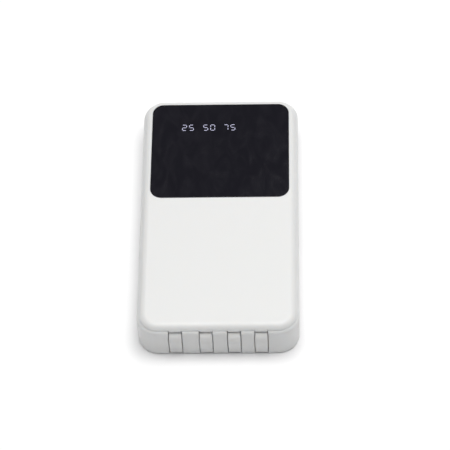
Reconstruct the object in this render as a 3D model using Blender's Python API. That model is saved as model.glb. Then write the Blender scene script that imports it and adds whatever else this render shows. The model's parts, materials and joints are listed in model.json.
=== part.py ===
"""Slim power bank with a black display panel and four built-in flat leads.

Run with: blender --background --python part.py, or from Blender's text editor.

Frame: the origin is at the centre of the underside, +Z is up towards the display, -Y is the
end that the four leads come out of, and +Y is the end that holds the sockets. Every size below
is in millimetres, and MM turns it into metres. The two housing shells clip together, each lead
leaves under the cover's rim, drops down its slot in the end wall, wraps round the bottom edge
and lies in a channel in the underside, with its plug in a pocket.
"""

from math import cos, pi, radians, sin

import bmesh
import bpy
from mathutils import Matrix, Vector

MM = 0.001
GAP = 0.3                 # running gap between pieces that touch or clip together

# Housing: the lower shell has a ledge that the narrower cover stands on
WIDTH = 68.0
LENGTH = 123.2
HEIGHT = 18.4
CORNER_RADIUS = 9.0
COVER_HEIGHT = 2.4
LEDGE = 0.9
RIM_EDGE = (1.8, 60.0)    # the rim's round edge: radius, and degrees that it turns through below the cover
BOTTOM_FILLET = 1.0
COVER_EDGE = (3.42, 3.45) # the cover's soft edge: half-axes, of which it shows the part above COVER_EDGE_START
COVER_EDGE_START = 25.0   # degrees
SIDE_WALL = 2.4
LEAD_END_WALL = 5.0
FLOOR_TOP = 5.4
CORNER_SEGMENTS = 6
FILLET_SEGMENTS = 4

HALF_WIDTH = WIDTH / 2
HALF_LENGTH = LENGTH / 2
RIM_Z = HEIGHT - COVER_HEIGHT
CEILING_Z = HEIGHT - 1.8
COVER_BOTTOM = RIM_Z + GAP
TONGUE_BOTTOM = 14.5
TONGUE_INSET = SIDE_WALL + GAP
TONGUE_THICKNESS = 1.2
STEP_Z = 13.7             # the end wall's inner step, below the cover's tongue

# Display panel, its adhesive and the light module under it
PANEL_WIDTH = 60.0
PANEL_LENGTH = 51.0
PANEL_THICKNESS = 1.0
PANEL_RADIUS = 4.9
PANEL_CENTRE_Y = 32.25
ADHESIVE_THICKNESS = 0.2
ADHESIVE_MARGIN = 0.6
BED_THICKNESS = 1.0
BED_INSET = 3.4
DISPLAY_CENTRE_Y = 44.85
DISPLAY_WIDTH = 38.0
DISPLAY_LENGTH = 8.0

# Leads: flat straps with moulded plugs
LEADS = ("usb_a", "micro_usb", "usb_c", "slim")
LEAD_X = {"usb_a": -17.8, "micro_usb": -5.0, "usb_c": 6.8, "slim": 18.1}
STRAP_WIDTH = 5.1
STRAP_THICKNESS = 1.6
STRAP_RECESS = 0.2        # how far the straps lie under the surfaces beside them
STRAP_EXIT_TOP = 14.3
STRAP_ROOT_Y = -51.2
TOP_BEND_INNER = 2.4      # the strap leaves the housing in a wide bend and folds under it in a tight one
LOW_BEND_INNER = 0.3
BEND_SEGMENTS = 6
BEND_SOLID = 72.0         # degrees of each bend that the fixed side keeps, clear of the moving side
TURN_SHIFT = 1 - pi / 4   # a bending strap turns about a point this share of its radius inside its corner
SLOT_WIDTH = 5.85
TAB_DROP = 1.4            # how far the cover's tabs reach down into the slots over the straps
TAB_DEPTH = (0.55, 2.1)   # the tabs' front and back, behind the cover's near edge
PLUG_Z = 3.35             # centre plane of the plugs in their pockets
GRIP_START_Y = 11.0
GRIP = {                  # moulded grip: width, thickness, length
    "usb_a": (13.6, 6.0, 20.0),
    "micro_usb": (9.2, 5.0, 18.0),
    "usb_c": (10.2, 5.4, 18.0),
    "slim": (8.6, 4.8, 18.0),
}
NOSE = {                  # metal nose: width, thickness, length
    "usb_a": (12.0, 4.5, 12.0),
    "micro_usb": (6.9, 1.9, 6.0),
    "usb_c": (8.3, 2.5, 6.6),
    "slim": (6.6, 1.5, 6.6),
}
NOSE_WALL = 0.35
POCKET_SIDE = 0.4
POCKET_NEAR = 1.0
POCKET_FAR = 0.8
POCKET_ROOF = 0.35
POCKET_SKIN = 1.0
SCOOP_Y = 21.0            # finger scoop across the four grips
SCOOP_RADIUS = 9.5
SCOOP_AXIS_Z = -4.4
SCOOP_X = (-31.2, 28.6)
SCOOP_SIDES = 28
ROOF_Y = (8.4, 46.0)      # stretch of the floor that is raised over the pockets

# Main board, sockets, button and battery
BOARD_Z = (13.0, 14.2)
BOARD_Y = (31.1, 57.0)
BOARD_HALF_WIDTH = 28.8
BOARD_RADIUS = 4.0
POST_RADIUS = 2.2
POST_HOLE_RADIUS = 1.1
BOARD_POSTS = ((-26.3, 35.1), (26.3, 35.1), (-26.3, 53.2), (26.3, 53.2))
SOCKET_MOUTH_Y = HALF_LENGTH - 0.6
USB_A_SOCKET = (13.2, 5.9, 14.0)
USB_A_SOCKET_X = {"left": -16.2, "right": 16.2}
USB_C_SOCKET = (9.0, 3.2, 7.6)
SOCKET_WALL = 0.4
BUTTON_Y = 43.6
BUTTON_Z = 10.4
BUTTON_SIZE = (9.0, 3.8)
BUTTON_FLANGE = (10.4, 4.8)
BUTTON_TRAVEL = 0.4
CELL_X = 29.5
CELL_Y = (-48.0, 29.5)
CELL_THICKNESS = 3.5
CELL_BOTTOM = 8.0
LEAD_BOARD_Y = (-56.3, -49.8)
LEAD_BOARD_Z = (11.2, 12.4)
CLAMP_Z = (14.6, 15.2)
CLAMP_Y = (-55.2, -52.2)
CLAMP_SCREWS = ((-11.4, -53.7), (12.45, -53.7))

# Placed from the sizes above
STRAP_FACE_Y = -HALF_LENGTH + STRAP_RECESS
STRAP_BACK_Y = STRAP_FACE_Y + STRAP_THICKNESS
SLOT_BACK_Y = STRAP_BACK_Y + GAP
TOP_BEND = (STRAP_BACK_Y + TOP_BEND_INNER, STRAP_EXIT_TOP - STRAP_THICKNESS - TOP_BEND_INNER)
LOW_BEND = (STRAP_BACK_Y + LOW_BEND_INNER, STRAP_RECESS + STRAP_THICKNESS + LOW_BEND_INNER)
RUN_START_Z = STRAP_RECESS + STRAP_THICKNESS / 2
EXIT_SHIFT = TURN_SHIFT * (TOP_BEND_INNER + STRAP_THICKNESS / 2)
FOLD_SHIFT = TURN_SHIFT * (LOW_BEND_INNER + STRAP_THICKNESS / 2)
STRAP_MIDDLE_Y = STRAP_FACE_Y + STRAP_THICKNESS / 2
EXIT_HINGE = (STRAP_MIDDLE_Y + EXIT_SHIFT, STRAP_EXIT_TOP - STRAP_THICKNESS / 2 - EXIT_SHIFT)
FOLD_HINGE = (STRAP_MIDDLE_Y + FOLD_SHIFT, RUN_START_Z + FOLD_SHIFT)
PANEL_BED_Z = HEIGHT - PANEL_THICKNESS - ADHESIVE_THICKNESS - 2 * GAP
BLOCK_TOP = PLUG_Z + GRIP["usb_a"][1] / 2 + POCKET_ROOF + POCKET_SKIN


# ---------------------------------------------------------------- scene and materials

def clear_scene():
    """Remove every object, so that the script can be run again in an open file."""
    for thing in list(bpy.data.objects):
        bpy.data.objects.remove(thing, do_unlink=True)


def material(name, colour, roughness, metallic=0.0):
    """Return a Principled BSDF material with a plain colour."""
    made = bpy.data.materials.get(name) or bpy.data.materials.new(name)
    made.use_nodes = True
    shader = made.node_tree.nodes["Principled BSDF"]
    shader.inputs["Base Color"].default_value = (*colour, 1.0)
    shader.inputs["Roughness"].default_value = roughness
    shader.inputs["Metallic"].default_value = metallic
    made.diffuse_color = (*colour, 1.0)
    return made


def make_materials():
    """Return the object's materials by name."""
    return {
        "housing": material("housing", (0.80, 0.80, 0.79), 0.38),
        "panel": material("panel", (0.012, 0.011, 0.016), 0.06),
        "strap": material("strap", (0.74, 0.74, 0.74), 0.50),
        "metal": material("metal", (0.72, 0.72, 0.73), 0.25, 1.0),
        "black_plastic": material("black_plastic", (0.03, 0.03, 0.03), 0.45),
        "white_plastic": material("white_plastic", (0.75, 0.75, 0.75), 0.45),
        "board": material("board", (0.02, 0.16, 0.07), 0.40),
        "cell": material("cell", (0.55, 0.57, 0.60), 0.35, 0.6),
        "foam": material("foam", (0.06, 0.06, 0.06), 0.90),
        "adhesive": material("adhesive", (0.10, 0.10, 0.10), 0.70),
        "red_wire": material("red_wire", (0.50, 0.03, 0.03), 0.45),
        "black_wire": material("black_wire", (0.03, 0.03, 0.03), 0.45),
    }


# ---------------------------------------------------------------- shapes

def rounded_outline(x_span, y_span, radius, segments=CORNER_SEGMENTS):
    """Return a rounded rectangle's points (x, y), anticlockwise from its +X -Y corner."""
    corners = (
        (x_span[1] - radius, y_span[0] + radius, -90),
        (x_span[1] - radius, y_span[1] - radius, 0),
        (x_span[0] + radius, y_span[1] - radius, 90),
        (x_span[0] + radius, y_span[0] + radius, 180),
    )
    points = []
    for centre_x, centre_y, start in corners:
        for step in range(segments + 1):
            angle = radians(start + 90.0 * step / segments)
            points.append((centre_x + radius * cos(angle), centre_y + radius * sin(angle)))
    return points


def housing_ring(inset, z, near_inset=None):
    """Return the housing's outline drawn in by inset, and by near_inset at the leads' end."""
    near = inset if near_inset is None else near_inset
    outline = rounded_outline(
        (-HALF_WIDTH + inset, HALF_WIDTH - inset),
        (-HALF_LENGTH + near, HALF_LENGTH - inset),
        CORNER_RADIUS - inset,
    )
    return [(x, y, z) for x, y in outline]


def bottom_rings():
    """Return the rings of the quarter-round edge of the underside."""
    rings = []
    for step in range(FILLET_SEGMENTS + 1):
        angle = radians(90.0 * step / FILLET_SEGMENTS)
        rings.append(housing_ring(BOTTOM_FILLET * (1 - sin(angle)), BOTTOM_FILLET * (1 - cos(angle))))
    return rings


def finish(name, mesh, skin, smooth=True):
    """Make the object of a mesh in millimetres, with its faces pointing out."""
    mesh.transform(Matrix.Scale(MM, 4))
    work = bmesh.new()
    work.from_mesh(mesh)
    bmesh.ops.recalc_face_normals(work, faces=work.faces)
    work.to_mesh(mesh)
    work.free()
    if smooth:
        mesh.shade_smooth()
        mesh.set_sharp_from_angle(angle=radians(35))
    thing = bpy.data.objects.new(name, mesh)
    bpy.context.scene.collection.objects.link(thing)
    mesh.materials.append(skin)
    return thing


def loft(name, rings, skin):
    """Make a closed solid from rings of equal point counts, capped at both ends."""
    count = len(rings[0])
    points = [point for ring in rings for point in ring]
    faces = []
    for level in range(len(rings) - 1):
        low = level * count
        high = low + count
        for step in range(count):
            after = (step + 1) % count
            faces.append((low + step, low + after, high + after, high + step))
    faces.append(tuple(range(count)))
    faces.append(tuple(range(len(points) - count, len(points))))
    mesh = bpy.data.meshes.new(name)
    mesh.from_pydata(points, [], faces)
    return finish(name, mesh, skin)


def prism(name, outline, z_span, skin):
    """Make an upright prism over an outline."""
    return loft(name, [[(x, y, z) for x, y in outline] for z in z_span], skin)


def block(name, x_span, y_span, z_span, skin):
    """Make a rectangular block."""
    outline = [(x_span[0], y_span[0]), (x_span[1], y_span[0]), (x_span[1], y_span[1]), (x_span[0], y_span[1])]
    return prism(name, outline, z_span, skin)


def side_profile(name, outline, x_span, skin):
    """Make a solid with the outline (y, z) all along x_span."""
    return loft(name, [[(x, y, z) for y, z in outline] for x in x_span], skin)


def end_profile(name, outline, y_span, skin):
    """Make a solid with the outline (x, z) all along y_span."""
    return loft(name, [[(x, y, z) for x, z in outline] for y in y_span], skin)


def turned(name, profile, place, skin, sides=16):
    """Turn a profile of (radius, z) about the upright axis at place (x, y)."""
    rings = []
    for radius, z in profile:
        ring = []
        for step in range(sides):
            angle = 2 * pi * step / sides
            ring.append((place[0] + radius * cos(angle), place[1] + radius * sin(angle), z))
        rings.append(ring)
    return loft(name, rings, skin)


def wire(name, route, diameter, skin):
    """Make an insulated wire along a smooth curve through the route's points."""
    points = smooth_route(route, 4)
    curve = bpy.data.curves.new(name, "CURVE")
    curve.dimensions = "3D"
    curve.bevel_depth = diameter / 2 * MM
    curve.bevel_resolution = 2
    curve.use_fill_caps = True
    spline = curve.splines.new("POLY")
    spline.points.add(len(points) - 1)
    for point, place in zip(spline.points, points):
        point.co = (*(place * MM), 1.0)
    thing = bpy.data.objects.new(name, curve)
    bpy.context.scene.collection.objects.link(thing)
    curve.materials.append(skin)
    return thing


def smooth_route(route, steps):
    """Return points of a Catmull-Rom curve through the route, steps to each stretch."""
    knots = [Vector(place) for place in route]
    knots = [2 * knots[0] - knots[1]] + knots + [2 * knots[-1] - knots[-2]]
    points = []
    for index in range(1, len(knots) - 2):
        before, start, end, after = knots[index - 1:index + 3]
        for step in range(steps):
            t = step / steps
            points.append(0.5 * (
                2 * start + (end - before) * t
                + (2 * before - 5 * start + 4 * end - after) * t ** 2
                + (3 * start - before - 3 * end + after) * t ** 3
            ))
    points.append(knots[-2])
    return points


def combine(target, tool, operation):
    """Add a Boolean of target with tool, and keep the tool as a hidden guide."""
    modifier = target.modifiers.new(tool.name, "BOOLEAN")
    modifier.operation = operation
    modifier.solver = "EXACT"
    modifier.object = tool
    tool.hide_render = True
    tool.display_type = "WIRE"


def cut(target, tool):
    """Cut the tool's shape out of the target."""
    combine(target, tool, "DIFFERENCE")


def add(target, tool):
    """Weld the tool's shape onto the target."""
    combine(target, tool, "UNION")


def arc(centre_y, centre_z, radius, start, end, segments=BEND_SEGMENTS):
    """Return points (y, z) on an arc from the start angle to the end angle, in degrees."""
    points = []
    for step in range(segments + 1):
        angle = radians(start + (end - start) * step / segments)
        points.append((centre_y + radius * cos(angle), centre_z + radius * sin(angle)))
    return points


def lead_span(lead, width):
    """Return the X span of something of this width on a lead's centre line."""
    return (LEAD_X[lead] - width / 2, LEAD_X[lead] + width / 2)


# ---------------------------------------------------------------- housing

def make_lower_shell(skins):
    """The tray: ledge for the cover, four lead slots, channels, pockets, posts and openings."""
    rings = bottom_rings()
    radius, turn = RIM_EDGE
    for step in range(FILLET_SEGMENTS + 1):
        angle = radians(turn * step / FILLET_SEGMENTS)
        rings.append(housing_ring(radius * (1 - cos(angle)), RIM_Z - radius * (sin(radians(turn)) - sin(angle))))
    rings.append(housing_ring(SIDE_WALL, RIM_Z))
    rings.append(housing_ring(SIDE_WALL, STEP_Z))
    rings.append(housing_ring(SIDE_WALL, STEP_Z - 0.1, LEAD_END_WALL))
    rings.append(housing_ring(SIDE_WALL, FLOOR_TOP, LEAD_END_WALL))
    shell = loft("lower_shell", rings, skins["housing"])

    roof_x = (-HALF_WIDTH + SIDE_WALL - 0.9, HALF_WIDTH - SIDE_WALL + 0.9)
    add(shell, block("guide_pocket_roof", roof_x, ROOF_Y, (FLOOR_TOP - 0.6, BLOCK_TOP), skins["housing"]))
    for number, place in enumerate(BOARD_POSTS):
        post(shell, f"guide_board_post_{number}", place, BOARD_Z[0] - GAP, skins)
    for number, place in enumerate(CLAMP_SCREWS):
        post(shell, f"guide_clamp_post_{number}", place, LEAD_BOARD_Z[0] - GAP, skins)

    for lead in LEADS:
        cut_lead_slot(shell, lead, skins)
        cut_plug_pocket(shell, lead, skins)
    cut_scoop(shell, skins)
    cut_socket_openings(shell, skins)
    cut_button_opening(shell, skins)
    return shell


def post(shell, name, place, top, skins):
    """Weld on an upright post with a blind screw hole."""
    hole_bottom = top - 4.6
    add(shell, turned(name, ((POST_RADIUS, FLOOR_TOP - 0.6), (POST_RADIUS, top)), place, skins["housing"]))
    hole = ((POST_HOLE_RADIUS, hole_bottom), (POST_HOLE_RADIUS, top + 1.0))
    cut(shell, turned(name + "_hole", hole, place, skins["housing"]))


def cut_lead_slot(shell, lead, skins):
    """Cut the slot down the end wall, the notch over it and the sloping channel below it."""
    outside = -HALF_LENGTH - 1.0
    notch_floor = STRAP_EXIT_TOP - STRAP_THICKNESS - GAP
    low_roof = STRAP_RECESS + STRAP_THICKNESS + GAP
    high_roof = PLUG_Z + STRAP_THICKNESS / 2 + GAP
    inside = -HALF_LENGTH + LEAD_END_WALL + 0.6
    outline = [
        (outside, -1.0),
        (GRIP_START_Y, -1.0),
        (GRIP_START_Y, high_roof),
        (SLOT_BACK_Y, low_roof),
        *arc(*TOP_BEND, TOP_BEND_INNER - GAP, 180, 90),
        (inside, notch_floor),
        (inside, RIM_Z + 1.0),
        (outside, RIM_Z + 1.0),
    ]
    cut(shell, side_profile(f"guide_slot_{lead}", outline, lead_span(lead, SLOT_WIDTH), skins["housing"]))


def cut_plug_pocket(shell, lead, skins):
    """Cut the pockets for a plug's grip and for its metal nose."""
    grip_width, grip_thickness, grip_length = GRIP[lead]
    nose_width, nose_thickness, nose_length = NOSE[lead]
    grip_end = GRIP_START_Y + grip_length
    grip = rounded_outline(
        lead_span(lead, grip_width + 2 * POCKET_SIDE),
        (GRIP_START_Y - POCKET_NEAR, grip_end + POCKET_FAR),
        1.6,
        3,
    )
    roof = PLUG_Z + grip_thickness / 2 + POCKET_ROOF
    cut(shell, prism(f"guide_grip_pocket_{lead}", grip, (-1.0, roof), skins["housing"]))
    nose = rounded_outline(
        lead_span(lead, nose_width + 2 * POCKET_SIDE),
        (grip_end - 1.0, grip_end + nose_length + POCKET_FAR),
        1.0,
        2,
    )
    roof = PLUG_Z + nose_thickness / 2 + POCKET_ROOF
    cut(shell, prism(f"guide_nose_pocket_{lead}", nose, (-1.0, roof), skins["housing"]))


def cut_scoop(shell, skins):
    """Cut the finger scoop: a shallow round trench with rounded ends."""
    rings = []
    for x, radius in (
        (SCOOP_X[0], SCOOP_RADIUS - 2.4),
        (SCOOP_X[0] + 0.4, SCOOP_RADIUS - 0.9),
        (SCOOP_X[0] + 1.2, SCOOP_RADIUS),
        (SCOOP_X[1] - 1.2, SCOOP_RADIUS),
        (SCOOP_X[1] - 0.4, SCOOP_RADIUS - 0.9),
        (SCOOP_X[1], SCOOP_RADIUS - 2.4),
    ):
        circle = arc(SCOOP_Y, SCOOP_AXIS_Z, radius, 0, 360, SCOOP_SIDES)[:-1]
        rings.append([(x, y, z) for y, z in circle])
    cut(shell, loft("guide_scoop", rings, skins["housing"]))


def cut_socket_openings(shell, skins):
    """Cut the far end wall open for the two wide sockets and the small one."""
    through = (HALF_LENGTH - SIDE_WALL - 1.0, HALF_LENGTH + 1.0)
    top = BOARD_Z[0]
    width, height, _ = USB_A_SOCKET
    for side, x in USB_A_SOCKET_X.items():
        hole_x = (x - width / 2 - GAP, x + width / 2 + GAP)
        hole = rounded_outline(hole_x, (top - height - 2 * GAP, top), 0.6, 2)
        cut(shell, end_profile(f"guide_usb_a_opening_{side}", hole, through, skins["housing"]))
    width, height, _ = USB_C_SOCKET
    hole = rounded_outline((-width / 2 - GAP, width / 2 + GAP), (top - height - 2 * GAP, top), 1.8, 4)
    cut(shell, end_profile("guide_usb_c_opening", hole, through, skins["housing"]))


def cut_button_opening(shell, skins):
    """Cut the right-hand wall open for the power button."""
    length, height = BUTTON_SIZE
    outline = rounded_outline(
        (BUTTON_Y - length / 2 - GAP, BUTTON_Y + length / 2 + GAP),
        (BUTTON_Z - height / 2 - GAP, BUTTON_Z + height / 2 + GAP),
        height / 2 + GAP - 0.05,
        4,
    )
    through = (HALF_WIDTH - SIDE_WALL - 1.0, HALF_WIDTH + 1.0)
    cut(shell, side_profile("guide_button_opening", outline, through, skins["housing"]))


def make_top_cover(skins):
    """The cover: rounded edge, tongue inside the ledge, tabs in the slots and the display panel's recess."""
    rings = [
        housing_ring(TONGUE_INSET, COVER_BOTTOM),
        housing_ring(LEDGE, COVER_BOTTOM),
    ]
    width, height = COVER_EDGE
    start = cos(radians(COVER_EDGE_START))
    for step in range(FILLET_SEGMENTS + 1):
        angle = radians(COVER_EDGE_START + (90.0 - COVER_EDGE_START) * step / FILLET_SEGMENTS)
        rings.append(housing_ring(LEDGE + width * (start - cos(angle)), HEIGHT - height * (1 - sin(angle))))
    inner = TONGUE_INSET + TONGUE_THICKNESS
    under = [
        housing_ring(inner + 1.5, CEILING_Z),
        housing_ring(inner, CEILING_Z - 0.7),
        housing_ring(inner, TONGUE_BOTTOM),
        housing_ring(TONGUE_INSET, TONGUE_BOTTOM),
    ]
    cover = loft("top_cover", under + rings, skins["housing"])

    half = PANEL_LENGTH / 2
    bed = rounded_outline(
        (-HALF_WIDTH + BED_INSET, HALF_WIDTH - BED_INSET),
        (PANEL_CENTRE_Y - half - 2.0, HALF_LENGTH - BED_INSET),
        CORNER_RADIUS - BED_INSET,
    )
    bed_bottom = PANEL_BED_Z - BED_THICKNESS
    add(cover, prism("guide_panel_bed", bed, (bed_bottom, CEILING_Z + 0.2), skins["housing"]))
    recess = panel_outline(GAP)
    cut(cover, prism("guide_panel_recess", recess, (PANEL_BED_Z, HEIGHT + 1.0), skins["housing"]))
    window = display_outline(GAP)
    cut(cover, prism("guide_display_window", window, (bed_bottom - 0.5, PANEL_BED_Z + 0.5), skins["housing"]))
    passage_x = (LEAD_X["usb_a"] - 4.4, LEAD_X["slim"] + 4.4)
    passage_y = (-HALF_LENGTH + TONGUE_INSET - 0.3, -HALF_LENGTH + inner + 0.3)
    passage_z = (TONGUE_BOTTOM - 0.5, COVER_BOTTOM + 0.3)
    cut(cover, block("guide_lead_passage", passage_x, passage_y, passage_z, skins["housing"]))
    tab_y = (-HALF_LENGTH + LEDGE + TAB_DEPTH[0], -HALF_LENGTH + LEDGE + TAB_DEPTH[1])
    for lead in LEADS:
        tab_x = lead_span(lead, SLOT_WIDTH - 2 * GAP)
        tab_z = (COVER_BOTTOM - TAB_DROP, COVER_BOTTOM + 0.1)
        add(cover, block(f"guide_tab_{lead}", tab_x, tab_y, tab_z, skins["housing"]))
    return cover


def panel_outline(grow):
    """Return the display panel's outline, grown all round."""
    half_width = PANEL_WIDTH / 2 + grow
    half_length = PANEL_LENGTH / 2 + grow
    return rounded_outline(
        (-half_width, half_width),
        (PANEL_CENTRE_Y - half_length, PANEL_CENTRE_Y + half_length),
        PANEL_RADIUS + grow,
    )


def display_outline(grow):
    """Return the light module's outline, grown all round."""
    half_width = DISPLAY_WIDTH / 2 + grow
    half_length = DISPLAY_LENGTH / 2 + grow
    return rounded_outline(
        (-half_width, half_width),
        (DISPLAY_CENTRE_Y - half_length, DISPLAY_CENTRE_Y + half_length),
        0.8 + grow,
        2,
    )


def make_display(skins):
    """The black panel, the adhesive that holds it and the light module behind it."""
    prism("display_panel", panel_outline(0), (HEIGHT - PANEL_THICKNESS, HEIGHT), skins["panel"])
    adhesive_z = (PANEL_BED_Z + GAP, PANEL_BED_Z + GAP + ADHESIVE_THICKNESS)
    adhesive = prism("panel_adhesive", panel_outline(-ADHESIVE_MARGIN), adhesive_z, skins["adhesive"])
    opening_z = (adhesive_z[0] - 1.0, adhesive_z[1] + 1.0)
    cut(adhesive, prism("guide_adhesive_window", display_outline(1.0), opening_z, skins["adhesive"]))
    prism("display_module", display_outline(0), (BOARD_Z[1] + GAP, PANEL_BED_Z), skins["white_plastic"])


# ---------------------------------------------------------------- electronics

def make_boards(skins):
    """The main board with its chip and coil, and the small board that the leads solder to."""
    outline = rounded_outline((-BOARD_HALF_WIDTH, BOARD_HALF_WIDTH), BOARD_Y, BOARD_RADIUS)
    board = prism("main_board", outline, BOARD_Z, skins["board"])
    for number, place in enumerate(BOARD_POSTS):
        hole = ((POST_HOLE_RADIUS, BOARD_Z[0] - 1), (POST_HOLE_RADIUS, BOARD_Z[1] + 1))
        cut(board, turned(f"guide_board_hole_{number}", hole, place, skins["board"]))
    under = BOARD_Z[0] - GAP
    block("controller_chip", (3.0, 8.0), (37.6, 42.6), (under - 0.9, under), skins["black_plastic"])
    coil = rounded_outline((-11.0, -4.0), (36.6, 43.6), 1.2, 3)
    prism("boost_coil", coil, (under - 4.0, under), skins["black_plastic"])

    lead_board = block("lead_board", (-25.0, 25.0), LEAD_BOARD_Y, LEAD_BOARD_Z, skins["board"])
    for number, place in enumerate(CLAMP_SCREWS):
        hole = ((POST_HOLE_RADIUS, LEAD_BOARD_Z[0] - 1), (POST_HOLE_RADIUS, LEAD_BOARD_Z[1] + 1))
        cut(lead_board, turned(f"guide_lead_board_hole_{number}", hole, place, skins["board"]))


def make_lead_clamp(skins):
    """The bar that holds the four leads down on their board, with its two screws."""
    outline = rounded_outline((-24.0, 24.0), CLAMP_Y, 1.0, 2)
    bar = prism("lead_clamp_bar", outline, CLAMP_Z, skins["white_plastic"])
    for number, place in enumerate(CLAMP_SCREWS):
        hole = ((POST_HOLE_RADIUS, CLAMP_Z[0] - 1), (POST_HOLE_RADIUS, CLAMP_Z[1] + 1))
        cut(bar, turned(f"guide_clamp_hole_{number}", hole, place, skins["white_plastic"]))
        screw(f"clamp_screw_{number + 1}", place, CLAMP_Z[1] + GAP, 8.0, skins)
    for number, place in enumerate(BOARD_POSTS):
        screw(f"board_screw_{number + 1}", place, BOARD_Z[1] + GAP, 5.5, skins)


def screw(name, place, seat_z, length, skins):
    """A pan-head screw whose head rests at seat_z."""
    shank = POST_HOLE_RADIUS - GAP
    profile = (
        (shank * 0.4, seat_z - length),
        (shank, seat_z - length + 0.8),
        (shank, seat_z),
        (1.7, seat_z),
        (1.6, seat_z + 0.5),
        (0.9, seat_z + 0.8),
    )
    turned(name, profile, place, skins["metal"], sides=12)


def make_sockets(skins):
    """Two wide sockets and one small one, under the main board's far edge."""
    top = BOARD_Z[0] - GAP
    width, height, depth = USB_A_SOCKET
    for side, x in USB_A_SOCKET_X.items():
        outer = rounded_outline((x - width / 2, x + width / 2), (top - height, top), 0.5, 2)
        inner = rounded_outline(
            (x - width / 2 + SOCKET_WALL, x + width / 2 - SOCKET_WALL),
            (top - height + SOCKET_WALL, top - SOCKET_WALL),
            0.25,
            2,
        )
        name = f"usb_a_socket_{side}"
        socket_shell(name + "_shell", outer, inner, depth, skins)
        tongue_top = top - SOCKET_WALL - 0.55
        socket_core(name + "_core", x, 11.1, (top - height + SOCKET_WALL + GAP, top - SOCKET_WALL - GAP),
                    (tongue_top - 1.8, tongue_top), depth, 9.0, skins)
    width, height, depth = USB_C_SOCKET
    outer = rounded_outline((-width / 2, width / 2), (top - height, top), 1.5, 4)
    inner = rounded_outline(
        (-width / 2 + SOCKET_WALL, width / 2 - SOCKET_WALL),
        (top - height + SOCKET_WALL, top - SOCKET_WALL),
        1.1,
        4,
    )
    socket_shell("usb_c_socket_shell", outer, inner, depth, skins)
    middle = top - height / 2
    socket_core("usb_c_socket_core", 0.0, 6.6, (middle - 0.85, middle + 0.85),
                (middle - 0.35, middle + 0.35), depth, 5.6, skins)


def socket_shell(name, outer, inner, depth, skins):
    """A metal socket shell: a can that is open at its mouth."""
    back = SOCKET_MOUTH_Y - depth
    rings = [
        [(x, back, z) for x, z in outer],
        [(x, SOCKET_MOUTH_Y, z) for x, z in outer],
        [(x, SOCKET_MOUTH_Y, z) for x, z in inner],
        [(x, back + SOCKET_WALL, z) for x, z in inner],
    ]
    loft(name, rings, skins["metal"])


def socket_core(name, x, width, block_z, tongue_z, depth, tongue_length, skins):
    """The plastic core of a socket: a block at the back that carries the contact tongue."""
    back = SOCKET_MOUTH_Y - depth + SOCKET_WALL + GAP
    tip = SOCKET_MOUTH_Y - 1.0
    shoulder = tip - tongue_length
    outline = [
        (back, block_z[0]),
        (shoulder, block_z[0]),
        (shoulder, tongue_z[0]),
        (tip, tongue_z[0]),
        (tip, tongue_z[1]),
        (shoulder, tongue_z[1]),
        (shoulder, block_z[1]),
        (back, block_z[1]),
    ]
    side_profile(name, outline, (x - width / 2, x + width / 2), skins["white_plastic"])


def make_button(skins):
    """The power button, flush with the right-hand wall, and the switch that it presses."""
    length, height = BUTTON_SIZE
    flange_length, flange_height = BUTTON_FLANGE
    wall_inside = HALF_WIDTH - SIDE_WALL
    flange_x = (wall_inside - 1.2, wall_inside - GAP)
    stem_x = flange_x[0] - 0.9

    def pill(size, radius, x):
        outline = rounded_outline(
            (BUTTON_Y - size[0] / 2, BUTTON_Y + size[0] / 2),
            (BUTTON_Z - size[1] / 2, BUTTON_Z + size[1] / 2),
            radius,
            4,
        )
        return [(x, y, z) for y, z in outline]

    rings = [
        pill((3.0, 2.4), 0.8, stem_x),
        pill((3.0, 2.4), 0.8, flange_x[0]),
        pill((flange_length, flange_height), 2.3, flange_x[0]),
        pill((flange_length, flange_height), 2.3, flange_x[1]),
        pill((length, height), height / 2 - 0.05, flange_x[1]),
        pill((length, height), height / 2 - 0.05, HALF_WIDTH - 0.3),
        pill((length - 0.6, height - 0.6), height / 2 - 0.35, HALF_WIDTH),
    ]
    loft("power_button", rings, skins["housing"])

    nub_tip = stem_x - BUTTON_TRAVEL - 0.1
    top = BOARD_Z[0] - GAP
    rings = []
    for x, half_y, half_z in (
        (nub_tip - 5.2, 3.0, 2.0),
        (nub_tip - 0.8, 3.0, 2.0),
        (nub_tip - 0.8, 0.9, 0.7),
        (nub_tip, 0.9, 0.7),
    ):
        centre_z = top - 2.3
        outline = [
            (BUTTON_Y - half_y, centre_z - half_z),
            (BUTTON_Y + half_y, centre_z - half_z),
            (BUTTON_Y + half_y, centre_z + half_z),
            (BUTTON_Y - half_y, centre_z + half_z),
        ]
        rings.append([(x, y, z) for y, z in outline])
    loft("side_switch", rings, skins["black_plastic"])


def make_battery(skins):
    """Two flat pouch cells in a stack, with a foam pad below and a thin one above."""
    outline = rounded_outline((-CELL_X, CELL_X), CELL_Y, 1.5, 3)
    upper_bottom = CELL_BOTTOM + CELL_THICKNESS + GAP
    prism("battery_cell_lower", outline, (CELL_BOTTOM, CELL_BOTTOM + CELL_THICKNESS), skins["cell"])
    prism("battery_cell_upper", outline, (upper_bottom, upper_bottom + CELL_THICKNESS), skins["cell"])
    cell_top = upper_bottom + CELL_THICKNESS
    lower_z = (FLOOR_TOP + GAP, CELL_BOTTOM - GAP)
    upper_z = (cell_top + GAP, CEILING_Z - GAP)
    block("battery_pad_lower", (-28.0, 28.0), (-46.0, ROOF_Y[0] - 0.8), lower_z, skins["foam"])
    block("battery_pad_upper", (-26.0, 26.0), (-46.0, 2.8), upper_z, skins["foam"])


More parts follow.
